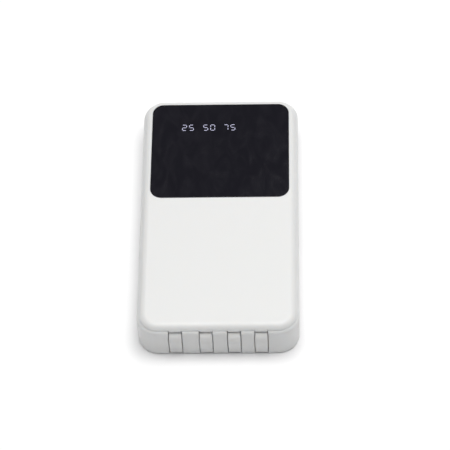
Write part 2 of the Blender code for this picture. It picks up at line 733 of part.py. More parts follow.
def make_wires(skins):
    """Two wires from the leads' board past the cells, and two from the cells to the main board."""
    under = BOARD_Z[0] - GAP - 0.65
    for side, name, skin in ((1, "positive", "red_wire"), (-1, "negative", "black_wire")):
        wire(f"harness_wire_{name}", (
            (side * 23.4, -50.6, 13.2),
            (side * 27.2, -50.2, 12.8),
            (side * 30.2, -47.6, 11.0),
            (side * 30.55, -42.0, 10.4),
            (side * 30.55, 0.0, 10.4),
            (side * 30.55, 24.0, 10.4),
            (side * 30.35, 29.0, 10.8),
            (side * 28.4, 31.5, 11.5),
            (side * 25.0, 31.5, 12.0),
            (side * 21.6, 31.8, under),
        ), 1.1, skins[skin])
        wire(f"battery_wire_{name}", (
            (side * 5.0, CELL_Y[1] + GAP, 11.7),
            (side * 5.0, CELL_Y[1] + 1.4, 11.75),
            (side * 5.0, CELL_Y[1] + 3.6, under),
        ), 1.2, skins[skin])


# ---------------------------------------------------------------- leads

def make_lead(lead, skins):
    """One built-in lead: fixed root, the drop down the end wall, the run and the plug."""
    span = lead_span(lead, STRAP_WIDTH)
    root = [(STRAP_ROOT_Y, STRAP_EXIT_TOP - STRAP_THICKNESS), (STRAP_ROOT_Y, STRAP_EXIT_TOP)]
    root += arc(*TOP_BEND, TOP_BEND_INNER + STRAP_THICKNESS, 90, 90 + BEND_SOLID)
    root += arc(*TOP_BEND, TOP_BEND_INNER, 90 + BEND_SOLID, 90)
    side_profile(f"{lead}_strap_root", root, span, skins["strap"])

    drop_top = TOP_BEND[1] - GAP
    drop = [(STRAP_BACK_Y, drop_top), (STRAP_FACE_Y, drop_top)]
    drop += arc(*LOW_BEND, LOW_BEND_INNER + STRAP_THICKNESS, 180, 180 + BEND_SOLID)
    drop += arc(*LOW_BEND, LOW_BEND_INNER, 180 + BEND_SOLID, 180)
    hinge_at_exit(side_profile(f"{lead}_strap_drop", drop, span, skins["strap"]), lead)

    half = STRAP_THICKNESS / 2
    run_start = LOW_BEND[0] + GAP
    run = [
        (run_start, RUN_START_Z - half),
        (GRIP_START_Y - GAP, PLUG_Z - half),
        (GRIP_START_Y - GAP, PLUG_Z + half),
        (run_start, RUN_START_Z + half),
    ]
    hinge_at_fold(side_profile(f"{lead}_strap_run", run, span, skins["strap"]), lead)
    make_grip(lead, skins)
    if lead == "slim":
        make_blade(lead, skins)
    else:
        make_nose(lead, skins)


def make_grip(lead, skins):
    """The moulded grip: a shouldered block that tapers towards the strap."""
    width, thickness, length = GRIP[lead]
    end = GRIP_START_Y + length
    rings = []
    for y, share, radius in (
        (GRIP_START_Y, 0.62, 1.0),
        (GRIP_START_Y + 3.2, 0.96, 1.5),
        (GRIP_START_Y + 4.6, 1.0, 1.6),
        (end - 0.6, 1.0, 1.6),
        (end, 0.93, 1.4),
    ):
        half_width = width * share / 2
        half_thickness = thickness * share / 2
        outline = rounded_outline(
            (LEAD_X[lead] - half_width, LEAD_X[lead] + half_width),
            (PLUG_Z - half_thickness, PLUG_Z + half_thickness),
            radius,
            3,
        )
        rings.append([(x, y, z) for x, z in outline])
    hinge_at_fold(loft(f"{lead}_plug_grip", rings, skins["strap"]), lead)


def nose_outline(lead, inset):
    """Return a metal nose's outline (x, z): a box, a keyed box or a rounded one."""
    width, thickness, _ = NOSE[lead]
    half_width = width / 2 - inset
    half_thickness = thickness / 2 - inset
    centre = LEAD_X[lead]
    if lead == "micro_usb":
        narrow = half_width - 0.9
        return [
            (centre - narrow, PLUG_Z - half_thickness),
            (centre + narrow, PLUG_Z - half_thickness),
            (centre + half_width, PLUG_Z - half_thickness + 0.7),
            (centre + half_width, PLUG_Z + half_thickness),
            (centre - half_width, PLUG_Z + half_thickness),
            (centre - half_width, PLUG_Z - half_thickness + 0.7),
        ]
    radius = {"usb_a": 0.5, "usb_c": 1.2}[lead] - inset * 0.5
    return rounded_outline(
        (centre - half_width, centre + half_width),
        (PLUG_Z - half_thickness, PLUG_Z + half_thickness),
        min(radius, half_thickness - 0.02),
        4,
    )


def make_nose(lead, skins):
    """The metal shell of a plug, open at its tip, with the contact tongue that it covers."""
    length = NOSE[lead][2]
    back = GRIP_START_Y + GRIP[lead][2] + GAP
    tip = back + length - GAP
    outer = nose_outline(lead, 0)
    inner = nose_outline(lead, NOSE_WALL)
    rings = [
        [(x, back, z) for x, z in outer],
        [(x, tip, z) for x, z in outer],
        [(x, tip, z) for x, z in inner],
        [(x, back + NOSE_WALL, z) for x, z in inner],
    ]
    hinge_at_fold(loft(f"{lead}_plug_shell", rings, skins["metal"]), lead)
    if lead == "usb_a":
        tongue_z = (PLUG_Z - NOSE[lead][1] / 2 + NOSE_WALL + GAP, PLUG_Z - 0.1)
    elif lead == "micro_usb":
        tongue_z = (PLUG_Z, PLUG_Z + 0.4)
    else:
        return
    half = NOSE[lead][0] / 2 - NOSE_WALL - GAP
    tongue_y = (back + NOSE_WALL + GAP, tip - 0.4)
    tongue = block(f"{lead}_plug_tongue", (LEAD_X[lead] - half, LEAD_X[lead] + half), tongue_y, tongue_z,
                   skins["black_plastic"])
    hinge_at_fold(tongue, lead)


def make_blade(lead, skins):
    """The solid reversible blade of the slim plug."""
    width, thickness, length = NOSE[lead]
    back = GRIP_START_Y + GRIP[lead][2] + GAP
    tip = back + length - GAP
    half_width = width / 2
    outline = [(LEAD_X[lead] - half_width, back), (LEAD_X[lead] + half_width, back)]
    corner = 1.2
    for side, start in ((1, 0), (-1, 90)):
        corner_x = LEAD_X[lead] + side * (half_width - corner)
        outline += arc(corner_x, tip - corner, corner, start, start + 90, 4)
    blade_z = (PLUG_Z - thickness / 2, PLUG_Z + thickness / 2)
    hinge_at_fold(prism(f"{lead}_plug_blade", outline, blade_z, skins["metal"]), lead)


def hinge_at_exit(thing, lead):
    """Put a moving piece's origin on the hinge where its strap leaves the housing."""
    move_origin(thing, Vector((LEAD_X[lead], *EXIT_HINGE)))


def hinge_at_fold(thing, lead):
    """Put a moving piece's origin on the hinge where its strap folds under the housing."""
    move_origin(thing, Vector((LEAD_X[lead], *FOLD_HINGE)))


def move_origin(thing, place):
    """Move an object's origin to a place in millimetres, and leave its shape where it is."""
    thing.data.transform(Matrix.Translation(-place * MM))
    thing.location = place * MM


# ---------------------------------------------------------------- build

def main():
    """Build every piece of the power bank."""
    clear_scene()
    skins = make_materials()
    make_lower_shell(skins)
    make_top_cover(skins)
    make_display(skins)
    make_boards(skins)
    make_lead_clamp(skins)
    make_sockets(skins)
    make_button(skins)
    make_battery(skins)
    make_wires(skins)
    for lead in LEADS:
        make_lead(lead, skins)


main()
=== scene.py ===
"""Looks of the power bank: fine shells, mirror panel with lit numbers, leads, plugs, sockets and materials.

Sizes are in millimetres, as in the CAD, and MM turns them into metres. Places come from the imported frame.
"""

import json
from math import atan, atan2, cos, degrees, radians, sin

import bmesh
import bpy
from mathutils import Matrix, Vector


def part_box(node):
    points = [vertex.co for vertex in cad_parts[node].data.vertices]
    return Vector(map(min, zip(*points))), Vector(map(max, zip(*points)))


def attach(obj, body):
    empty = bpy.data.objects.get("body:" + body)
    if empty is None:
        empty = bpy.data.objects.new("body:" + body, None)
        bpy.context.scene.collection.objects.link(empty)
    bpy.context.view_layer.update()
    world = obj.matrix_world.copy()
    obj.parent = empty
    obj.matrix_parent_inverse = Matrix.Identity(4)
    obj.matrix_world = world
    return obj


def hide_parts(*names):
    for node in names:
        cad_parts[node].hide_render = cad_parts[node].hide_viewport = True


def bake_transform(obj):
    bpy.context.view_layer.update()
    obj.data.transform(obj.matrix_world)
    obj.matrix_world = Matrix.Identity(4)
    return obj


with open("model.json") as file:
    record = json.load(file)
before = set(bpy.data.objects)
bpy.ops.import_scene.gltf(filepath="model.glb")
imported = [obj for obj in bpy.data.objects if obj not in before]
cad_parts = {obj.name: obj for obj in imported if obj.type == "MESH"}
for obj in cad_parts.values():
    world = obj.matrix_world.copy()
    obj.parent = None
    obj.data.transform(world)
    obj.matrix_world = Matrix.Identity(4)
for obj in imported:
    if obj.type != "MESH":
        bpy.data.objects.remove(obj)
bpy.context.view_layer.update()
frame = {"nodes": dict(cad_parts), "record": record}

MM = 0.001
LEADS = ("usb_a", "micro_usb", "usb_c", "slim")
SIDES = ("left", "right")

# The housing: walls, clearances and edges
GAP = 0.3
CORNER_RADIUS = 9.0
SIDE_WALL = 2.4
LEAD_END_WALL = 5.0
LEAD_END_STEP = 13.1         # the wall at the leads' end is that thick up to this height
FLOOR_TOP = 5.4
BOTTOM_FILLET = 1.0
RIM_EDGE = (1.8, 60.0)       # the rim's round edge: radius, and degrees that it turns through
PARTING_GAP = 0.1            # the shadow line between the rim and the cover
COVER_EDGE = (3.42, 3.75)    # half-axes of the cover's soft edge
COVER_EDGE_START = 25.0      # degrees of it that are left out below the parting line
EDGE = 0.3                   # small moulded radius on the edges of slots, pockets and openings
CORNER_SEGMENTS = 18
FILLET_SEGMENTS = 10
PANEL_RADIUS = 4.9
PANEL_GAP = 0.06             # the hairline round the panel

# The underside: pockets for the plugs, the raised floor over them and the finger scoop
POCKET_SIDE = 0.4
POCKET_NEAR = 1.0
POCKET_FAR = 0.8
POCKET_ROOF = 0.35
ROOF_SKIN = 1.0
ROOF_Y = (8.4, 46.0)
SCOOP = {"y": 21.0, "axis_z": -4.4, "radius": 9.5, "x": (-31.2, 28.6)}

# The straps and their slots
SLOT_WIDTH = 5.75
TAB_DROP = 0.95              # the cover reaches this far down into the slots over the straps
STRAP_THICKNESS = 1.6
STRAP_PROUD = 0.3            # how far the straps stand out of their slots
TOP_BEND_INNER = (1.6, 2.2)  # half-axes of their inner face at the upper bend
LOW_BEND_INNER = (0.3, 0.3)  # and at the lower one
BEND_RISE = 0.2              # how far they arch up over the end wall
BULGE = 1.1                  # how much further the upper bend stands out
BULGE_END = 2.0              # the height at which the bulge has eased away
JOIN_RISE = 2.2              # a strap's two meshes meet this far above the lower bend's centre
JOIN_OVERLAP = 0.04          # and run into each other by this much
TOP_BLEND = 4.0              # a distance from the upper bend's outer corner, given with the upper mesh's ends
LOW_BLEND = 1.2              # and one from the lower bend's centre, given with the lower mesh's ends
RUN_SLOPE = 361.9            # the run's way towards the plug climbs a little: 360 is level

# The camera: the view of the photograph
VIEW_ELEVATION = 54.163
VIEW_YAW = 3.058
VIEW_ROLL = -3.007
VIEW_DISTANCE = 1039.83
VIEW_TARGET = (2.566, -8.063)
VIEW_LENS = 194.712
SENSOR = 36.0


# ---------------------------------------------------------------- places from the frame

def spans(*nodes):
    """Return the X, Y and Z spans in millimetres of the box around some CAD nodes."""
    corners = [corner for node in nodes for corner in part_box(node)]
    return [(min(c[i] for c in corners) / MM, max(c[i] for c in corners) / MM) for i in range(3)]


def middle(span):
    """Return the middle of a span."""
    return (span[0] + span[1]) / 2


def size(span):
    """Return the length of a span."""
    return span[1] - span[0]


SHELL = spans("lower_shell")
COVER = spans("top_cover")
PANEL = spans("display_panel")
MODULE = spans("display_module")
BUTTON = spans("power_button")
RIM_Z = SHELL[2][1]
TOP_Z = COVER[2][1]
LEDGE = SHELL[0][1] - COVER[0][1]
LEAD_X = {lead: middle(spans(f"{lead}_strap_drop")[0]) for lead in LEADS}
GRIP = {lead: spans(f"{lead}_plug_grip") for lead in LEADS}
NOSE = {lead: spans(f"{lead}_plug_blade" if lead == "slim" else f"{lead}_plug_shell") for lead in LEADS}
PLUG_Z = middle(GRIP["usb_a"][2])
STRAP_FACE_Y = spans("usb_a_strap_drop")[1][0] - STRAP_PROUD
STRAP_BACK_Y = STRAP_FACE_Y + STRAP_THICKNESS
STRAP_TOP_Z = spans("usb_a_strap_root")[2][1]
STRAP_LOW_Z = spans("usb_a_strap_run")[2][0]
STRAP_WIDTH = size(spans("usb_a_strap_run")[0]) + 0.1
SLOT_BACK_Y = STRAP_BACK_Y + GAP
TOP_BEND = (STRAP_BACK_Y + TOP_BEND_INNER[0], STRAP_TOP_Z + BEND_RISE - STRAP_THICKNESS - TOP_BEND_INNER[1])
LOW_BEND = (STRAP_BACK_Y + LOW_BEND_INNER[0], STRAP_LOW_Z + STRAP_THICKNESS + LOW_BEND_INNER[1])
JOIN_Z = LOW_BEND[1] + JOIN_RISE


# ---------------------------------------------------------------- mesh tools

def rounded(x_span, y_span, radius, grow=0.0, segments=CORNER_SEGMENTS):
    """Return a rounded rectangle's points, anticlockwise, grown all round by grow."""
    radius = max(radius + grow, 0.01)
    x0, x1 = x_span[0] - grow, x_span[1] + grow
    y0, y1 = y_span[0] - grow, y_span[1] + grow
    corners = (
        (x1 - radius, y0 + radius, -90),
        (x1 - radius, y1 - radius, 0),
        (x0 + radius, y1 - radius, 90),
        (x0 + radius, y0 + radius, 180),
    )
    points = []
    for centre_x, centre_y, start in corners:
        for step in range(segments + 1):
            angle = radians(start + 90.0 * step / segments)
            points.append((centre_x + radius * cos(angle), centre_y + radius * sin(angle)))
    return points


def along(axis, outline, level):
    """Place a flat outline at a level on an axis. Its own two axes are the other two, in X, Y, Z order."""
    if axis == "z":
        return [(a, b, level) for a, b in outline]
    if axis == "y":
        return [(a, level, b) for a, b in outline]
    return [(level, a, b) for a, b in outline]


def make_object(name, points, faces):
    """Make an object of points in millimetres, with its faces pointing out."""
    mesh = bpy.data.meshes.new(name)
    mesh.from_pydata([Vector(point) * MM for point in points], [], faces)
    work = bmesh.new()
    work.from_mesh(mesh)
    bmesh.ops.recalc_face_normals(work, faces=work.faces)
    work.to_mesh(mesh)
    work.free()
    thing = bpy.data.objects.new(name, mesh)
    bpy.context.scene.collection.objects.link(thing)
    return thing


def loft(name, rings):
    """Make a closed solid from rings of equal point counts, capped at both ends."""
    count = len(rings[0])
    points = [point for ring in rings for point in ring]
    faces = []
    for level in range(len(rings) - 1):
        low = level * count
        high = low + count
        for step in range(count):
            after = (step + 1) % count
            faces.append((low + step, low + after, high + after, high + step))
    faces.append(tuple(range(count)))
    faces.append(tuple(range(len(points) - count, len(points))))
    return make_object(name, points, faces)


def stack(name, axis, shape, sections):
    """Make a solid from sections (level, grow), where shape(grow) returns the outline."""
    return loft(name, [along(axis, shape(grow), level) for level, grow in sections])


def block(name, x_span, y_span, z_span, radius=0.0, segments=3):
    """Make an upright block with rounded upright edges."""
    outline = rounded(x_span, y_span, max(radius, 0.01), segments=segments if radius else 1)
    return loft(name, [along("z", outline, z) for z in z_span])


def eased_sections(z_span, edge):
    """Return sections (level, grow) of a slab whose top and bottom edges are rounded off."""
    steps = [radians(90.0 * step / 4) for step in range(5)]
    sections = [(z_span[0] + edge * (1 - cos(a)), -edge * (1 - sin(a))) for a in steps]
    sections += [(z_span[1] - edge * (1 - sin(a)), -edge * (1 - cos(a))) for a in steps]
    return sections


def rounded_block(name, x_span, y_span, z_span, radius, edge):
    """Make a block whose upright corners have a radius and whose top and bottom edges are rounded off."""
    def shape(grow):
        return rounded(x_span, y_span, radius, grow, 5)
    return stack(name, "z", shape, eased_sections(z_span, edge))


def smooth(share):
    """Return a share from 0 to 1 eased in and out."""
    return share * share * (3 - 2 * share)


def arc(centre, radius, start, end, segments):
    """Return points on an arc about a centre, from one angle to another in degrees."""
    points = []
    for step in range(segments + 1):
        angle = radians(start + (end - start) * step / segments)
        points.append((centre[0] + radius * cos(angle), centre[1] + radius * sin(angle)))
    return points


def bake(thing):
    """Apply a thing's modifiers to its mesh."""
    bpy.context.view_layer.update()
    evaluated = thing.evaluated_get(bpy.context.evaluated_depsgraph_get())
    mesh = bpy.data.meshes.new_from_object(evaluated)
    thing.modifiers.clear()
    thing.data = mesh


def boolean(target, tool, operation="DIFFERENCE"):
    """Cut the tool from the target, or weld it on, and remove the tool."""
    modifier = target.modifiers.new("boolean", "BOOLEAN")
    modifier.operation = operation
    modifier.solver = "EXACT"
    modifier.object = tool
    bake(target)
    bpy.data.objects.remove(tool, do_unlink=True)


def shade(thing, angle=32.0):
    """Shade smooth across soft edges, with flat faces kept flat."""
    thing.data.shade_smooth()
    thing.data.set_sharp_from_angle(angle=radians(angle))
    modifier = thing.modifiers.new("even_normals", "WEIGHTED_NORMAL")
    modifier.mode = "FACE_AREA"
    modifier.weight = 60
    modifier.keep_sharp = True


def place(thing, body, skin, nodes=(), angle=32.0):
    """Give a finished piece its material, its body and the CAD nodes that it stands for."""
    thing.data.materials.clear()
    thing.data.materials.append(skin)
    shade(thing, angle)
    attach(thing, body)
    if nodes:
        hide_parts(*nodes)
    return thing


def join(name, things):
    """Join several objects into one mesh."""
    work = bmesh.new()
    for thing in things:
        work.from_mesh(thing.data)
        bpy.data.objects.remove(thing, do_unlink=True)
    mesh = bpy.data.meshes.new(name)
    work.to_mesh(mesh)
    work.free()
    made = bpy.data.objects.new(name, mesh)
    bpy.context.scene.collection.objects.link(made)
    return made


# ---------------------------------------------------------------- materials

class Skin:
    """A Principled material under construction, with its noise textures in object coordinates."""

    def __init__(self, name, colour, roughness, metallic=0.0):
        self.material = bpy.data.materials.new(name)
        self.material.use_nodes = True
        self.tree = self.material.node_tree
        self.shader = self.tree.nodes["Principled BSDF"]
        self.shader.inputs["Base Color"].default_value = (*colour, 1.0)
        self.shader.inputs["Roughness"].default_value = roughness
        self.shader.inputs["Metallic"].default_value = metallic
        self.colour = colour
        self.place = self.tree.nodes.new("ShaderNodeTexCoord").outputs["Object"]

    def link(self, source, target):
        """Link two sockets."""
        self.tree.links.new(source, target)

    def noise(self, grain_mm, detail=2.0, stretch=(1.0, 1.0, 1.0), distortion=0.0):
        """Return a noise texture's value with features of about grain_mm."""
        mapping = self.tree.nodes.new("ShaderNodeMapping")
        mapping.inputs["Scale"].default_value = stretch
        self.link(self.place, mapping.inputs["Vector"])
        texture = self.tree.nodes.new("ShaderNodeTexNoise")
        texture.inputs["Scale"].default_value = 1.0 / (grain_mm * MM)
        texture.inputs["Detail"].default_value = detail
        texture.inputs["Distortion"].default_value = distortion
        self.link(mapping.outputs["Vector"], texture.inputs["Vector"])
        return texture.outputs["Fac"]

    def spread(self, value, low, high, from_low=0.3, from_high=0.7):
        """Return a value mapped from the noise's usual spread to low and high."""
        node = self.tree.nodes.new("ShaderNodeMapRange")
        node.inputs["From Min"].default_value = from_low
        node.inputs["From Max"].default_value = from_high
        node.inputs["To Min"].default_value = low
        node.inputs["To Max"].default_value = high
        self.link(value, node.inputs["Value"])
        return node.outputs["Result"]

    def vary_colour(self, value, other, low=0.3, high=0.7):
        """Let the base colour drift towards another colour."""
        ramp = self.tree.nodes.new("ShaderNodeValToRGB")
        ramp.color_ramp.elements[0].position = low
        ramp.color_ramp.elements[0].color = (*self.colour, 1.0)
        ramp.color_ramp.elements[1].position = high
        ramp.color_ramp.elements[1].color = (*other, 1.0)
        self.link(value, ramp.inputs["Fac"])
        self.link(ramp.outputs["Color"], self.shader.inputs["Base Color"])

    def vary_roughness(self, value, low, high):
        """Let the roughness drift between two values."""
        self.link(self.spread(value, low, high), self.shader.inputs["Roughness"])

    def scatter(self, weight, depth_mm):
        """Let light scatter under the surface, as in white plastic."""
        self.shader.inputs["Subsurface Weight"].default_value = weight
        self.shader.inputs["Subsurface Radius"].default_value = (1.0, 0.93, 0.85)
        self.shader.inputs["Subsurface Scale"].default_value = depth_mm * MM

    def bump(self, value, height_mm, strength=1.0):
        """Add a bump of a height in millimetres."""
        node = self.tree.nodes.new("ShaderNodeBump")
        node.inputs["Strength"].default_value = strength
        node.inputs["Distance"].default_value = height_mm * MM
        self.link(value, node.inputs["Height"])
        previous = self.shader.inputs["Normal"].links
        if previous:
            self.link(previous[0].from_socket, node.inputs["Normal"])
        self.link(node.outputs["Normal"], self.shader.inputs["Normal"])


def housing_skin():
    """Satin white moulded plastic: very fine spark texture and a faint drift in tone."""
    skin = Skin("housing_white", (0.745, 0.747, 0.742), 0.42)
    skin.vary_colour(skin.noise(38.0, 3.0), (0.74, 0.744, 0.738))
    skin.scatter(0.7, 1.2)
    skin.vary_roughness(skin.noise(6.0, 3.0), 0.36, 0.46)
    skin.bump(skin.noise(0.11, 2.0), 0.0035, 0.6)
    skin.bump(skin.noise(5.0, 1.0), 0.006, 0.25)
    return skin.material


def panel_skin():
    """Black mirror acrylic: a violet-black tone under a polished face with faint wiped smears."""
    skin = Skin("panel_black", (0.0060, 0.0055, 0.0092), 0.05)
    skin.shader.inputs["Specular IOR Level"].default_value = 0.5
    smear = skin.noise(7.0, 4.0, stretch=(1.0, 0.45, 1.0), distortion=1.6)
    skin.vary_colour(smear, (0.0085, 0.0078, 0.0120), 0.42, 0.72)
    skin.vary_roughness(smear, 0.035, 0.13)
    skin.bump(skin.noise(14.0, 1.0), 0.002, 0.3)
    return skin.material


def light_skin():
    """The lit numbers: a cool lavender white that glows through the panel."""
    skin = Skin("number_light", (0.05, 0.05, 0.06), 0.2)
    skin.shader.inputs["Emission Color"].default_value = (0.70, 0.70, 0.93, 1.0)
    glow = skin.noise(0.8, 1.0)
    skin.link(skin.spread(glow, 0.85, 1.15), skin.shader.inputs["Emission Strength"])
    return skin.material


def strap_skin():
    """Off-white elastomer: matt, with a slightly waxy tone and a fine drawn texture."""
    skin = Skin("strap_white", (0.735, 0.735, 0.73), 0.55)
    skin.vary_colour(skin.noise(9.0, 3.0), (0.71, 0.71, 0.705))
    skin.scatter(0.8, 0.8)
    skin.vary_roughness(skin.noise(2.2, 3.0), 0.48, 0.62)
    skin.bump(skin.noise(0.16, 2.0, stretch=(2.0, 0.35, 0.35)), 0.012, 0.5)
    skin.shader.inputs["Sheen Weight"].default_value = 0.08
    return skin.material


def grip_skin():
    """The plugs' moulded grips: the straps' material with a leather-fine spark finish."""
    skin = Skin("grip_white", (0.76, 0.76, 0.755), 0.5)
    skin.vary_colour(skin.noise(7.0, 3.0), (0.735, 0.735, 0.73))
    skin.scatter(0.8, 0.8)
    skin.vary_roughness(skin.noise(1.8, 3.0), 0.44, 0.56)
    skin.bump(skin.noise(0.14, 2.0), 0.008, 0.6)
    return skin.material


def metal_skin(name, colour, rough, brushed=(1.0, 1.0, 1.0)):
    """Plated or bare metal with drawn scratches and a drift in gloss."""
    skin = Skin(name, colour, rough, 1.0)
    skin.vary_colour(skin.noise(3.0, 3.0), tuple(0.9 * part for part in colour))
    skin.vary_roughness(skin.noise(0.5, 4.0, stretch=brushed), rough * 0.75, rough * 1.45)
    skin.bump(skin.noise(0.12, 3.0, stretch=brushed), 0.002, 0.5)
    return skin.material


def moulded_skin(name, colour, rough, other=None):
    """Plain moulded or coated part with a fine texture."""
    skin = Skin(name, colour, rough)
    skin.vary_colour(skin.noise(4.0, 3.0), other or tuple(0.88 * part for part in colour))
    skin.vary_roughness(skin.noise(1.4, 3.0), rough * 0.85, min(rough * 1.2, 1.0))
    skin.bump(skin.noise(0.13, 2.0), 0.006, 0.5)
    return skin.material


def foam_skin():
    """Closed-cell foam: open cells as a coarse bump."""
    skin = Skin("foam_black", (0.035, 0.035, 0.037), 0.92)
    skin.vary_colour(skin.noise(1.2, 4.0), (0.06, 0.06, 0.062))
    skin.bump(skin.noise(0.35, 3.0), 0.08, 0.9)
    return skin.material


def board_skin():
    """Green solder mask with the copper's edges just showing through."""
    skin = Skin("board_green", (0.012, 0.12, 0.045), 0.35)
    skin.vary_colour(skin.noise(1.6, 1.0, stretch=(1.0, 0.3, 1.0)), (0.02, 0.19, 0.07), 0.45, 0.52)
    skin.vary_roughness(skin.noise(1.0, 2.0), 0.28, 0.42)
    skin.bump(skin.noise(0.6, 1.0), 0.01, 0.4)
    return skin.material


SKINS = {
    "housing": housing_skin(),
    "display_panel": panel_skin(),
    "strap_rubber": strap_skin(),
    "grip_rubber": grip_skin(),
    "connector_metal": metal_skin("nickel_plate", (0.76, 0.75, 0.73), 0.2, (1.0, 0.12, 1.0)),
    "gold": metal_skin("gold_plate", (0.86, 0.62, 0.27), 0.22, (1.0, 0.2, 1.0)),
    "screws": metal_skin("zinc_plate", (0.52, 0.52, 0.53), 0.32),
    "white_plastic": moulded_skin("white_plastic", (0.76, 0.76, 0.74), 0.45),
    "black_plastic": moulded_skin("black_plastic", (0.02, 0.02, 0.021), 0.42, (0.035, 0.035, 0.036)),
    "circuit_board": board_skin(),
    "cell_pouch": metal_skin("cell_foil", (0.62, 0.63, 0.65), 0.38),
    "foam": foam_skin(),
    "adhesive_tape": moulded_skin("tape_black", (0.05, 0.05, 0.05), 0.6),
    "red_wire": moulded_skin("wire_red", (0.45, 0.02, 0.02), 0.42),
    "black_wire": moulded_skin("wire_black", (0.02, 0.02, 0.02), 0.42, (0.032, 0.032, 0.033)),
    "lights": light_skin(),
}


def dress(node, skin):
    """Give a CAD node a material."""
    mesh = frame["nodes"][node].data
    mesh.materials.clear()
    mesh.materials.append(SKINS[skin])


def dress_nodes():
    """Give every CAD node the material of its slot."""
    for part in frame["record"]["subparts"]:
        dress(part["node"], part["material_slot"])


# ---------------------------------------------------------------- housing

def housing_outline(inset, near_inset=None):
    """Return the lower shell's outline drawn in by inset, and by near_inset at the leads' end."""
    near = inset if near_inset is None else near_inset
    x_span = (SHELL[0][0] + inset, SHELL[0][1] - inset)
    y_span = (SHELL[1][0] + near, SHELL[1][1] - inset)
    return rounded(x_span, y_span, CORNER_RADIUS - inset)


def shell_rings():
    """Return the lower shell's outer rings (inset, z), from its rounded foot to its rounded rim."""
    rings = []
    for step in range(FILLET_SEGMENTS + 1):
        a = radians(90.0 * step / FILLET_SEGMENTS)
        rings.append((BOTTOM_FILLET * (1 - sin(a)), BOTTOM_FILLET * (1 - cos(a))))
    radius, turn = RIM_EDGE
    for step in range(FILLET_SEGMENTS + 1):
        a = radians(turn * step / FILLET_SEGMENTS)
        rings.append((radius * (1 - cos(a)), RIM_Z - radius * (sin(radians(turn)) - sin(a))))
    return rings


def flare(mouth, inward, radius=EDGE):
    """Return sections (level, grow) of a cutter that rounds a hole's edge over, from outside inwards."""
    sections = [(mouth - inward, radius * (1 - sin(radians(12))))]
    for angle in (12, 30, 50, 70, 90):
        a = radians(angle)
        sections.append((mouth + inward * radius * (1 - cos(a)), radius * (1 - sin(a))))
    return sections


def slot_stations():
    """Return the slot's path down the end wall and along the underside: point, inward normal, depth."""
    wall_y = SHELL[1][0]
    centre = (wall_y + BOTTOM_FILLET, BOTTOM_FILLET)
    low_roof = STRAP_LOW_Z + STRAP_THICKNESS + GAP
    high_roof = PLUG_Z + STRAP_THICKNESS / 2 + GAP
    run_end = GRIP["usb_a"][1][0]
    slope = (high_roof - low_roof) / (run_end - SLOT_BACK_Y)
    stations = [((wall_y, z), (1.0, 0.0), SLOT_BACK_Y - wall_y) for z in (RIM_Z + 2.0, RIM_Z, 8.0, 4.0)]
    for step in range(9):
        a = radians(180.0 + 90.0 * step / 8)
        normal = (-cos(a), -sin(a))
        point = (centre[0] + BOTTOM_FILLET * cos(a), centre[1] + BOTTOM_FILLET * sin(a))
        to_back = (SLOT_BACK_Y - point[0]) / normal[0] if normal[0] > 1e-6 else 1e9
        to_roof = (low_roof - point[1]) / normal[1] if normal[1] > 1e-6 else 1e9
        stations.append((point, normal, min(to_back, to_roof)))
    for y in (SLOT_BACK_Y, -40.0, -20.0, 0.0, run_end):
        stations.append(((y, 0.0), (0.0, 1.0), low_roof + slope * (y - SLOT_BACK_Y)))
    return stations


def cut_slot(shell, lead):
    """Cut one lead's slot and channel, with its edges rounded over along the whole way."""
    half = SLOT_WIDTH / 2
    corner = 0.35
    side = [(half + grow, level) for level, grow in flare(0.0, 1.0)]
    rings = []
    for point, normal, depth in slot_stations():
        section = side + [(half, depth - corner), (half - 0.12, depth - 0.1), (half - corner, depth)]
        section += [(-across, down) for across, down in reversed(section)]
        rings.append([
            (LEAD_X[lead] + across, point[0] + normal[0] * down, point[1] + normal[1] * down)
            for across, down in section
        ])
    boolean(shell, loft("slot", rings))
    front = SLOT_BACK_Y - 0.15
    inside = SHELL[1][0] + LEAD_END_WALL + 0.6
    above = RIM_Z + 1.0
    profile = [(front, TOP_BEND[1])]
    for step in range(13):
        a = radians(180.0 - 90.0 * step / 12)
        across, down = (half_axis - GAP for half_axis in TOP_BEND_INNER)
        profile.append((TOP_BEND[0] + across * cos(a), TOP_BEND[1] + down * sin(a)))
    profile += [(inside, profile[-1][1]), (inside, above), (front, above)]
    boolean(shell, loft("notch", [along("x", profile, LEAD_X[lead] + edge) for edge in (-half, half)]))


def cut_pocket(shell, lead):
    """Cut a plug's pocket: a well for the grip and a shallower one for the nose."""
    (grip_x, grip_y, grip_z), (nose_x, nose_y, nose_z) = GRIP[lead], NOSE[lead]
    grip_well_y = (grip_y[0] - POCKET_NEAR + POCKET_SIDE, grip_y[1] + POCKET_FAR - POCKET_SIDE)
    nose_well_y = (grip_y[1] - 1.0, nose_y[1] + POCKET_FAR)
    wells = ((grip_x, grip_well_y, grip_z[1], 1.2), (nose_x, nose_well_y, nose_z[1], 0.6))
    for x_span, y_span, top, radius in wells:
        def shape(grow, x_span=x_span, y_span=y_span, radius=radius):
            return rounded(x_span, y_span, radius, POCKET_SIDE + grow, 6)
        roof = top + POCKET_ROOF
        sections = flare(0.0, 1.0, 0.45)
        sections += [(roof - 0.5, 0.0), (roof - 0.15, -0.15), (roof, -0.5)]
        boolean(shell, stack("well", "z", shape, sections))


def cut_finger_scoop(shell):
    """Cut the shallow round trench across the grips, with rounded ends."""
    x0, x1 = SCOOP["x"]
    ends = []
    for step in range(6):
        a = radians(90.0 * step / 5)
        ends.append((1.2 * (1 - cos(a)), 2.4 * (1 - sin(a))))
    sections = [(x0 + run, drop) for run, drop in ends]
    sections += [(x1 - run, drop) for run, drop in reversed(ends)]
    rings = []
    for x, drop in sections:
        circle = arc((SCOOP["y"], SCOOP["axis_z"]), SCOOP["radius"] - drop, 0, 360, 96)[:-1]
        rings.append(along("x", circle, x))
    boolean(shell, loft("scoop", rings))


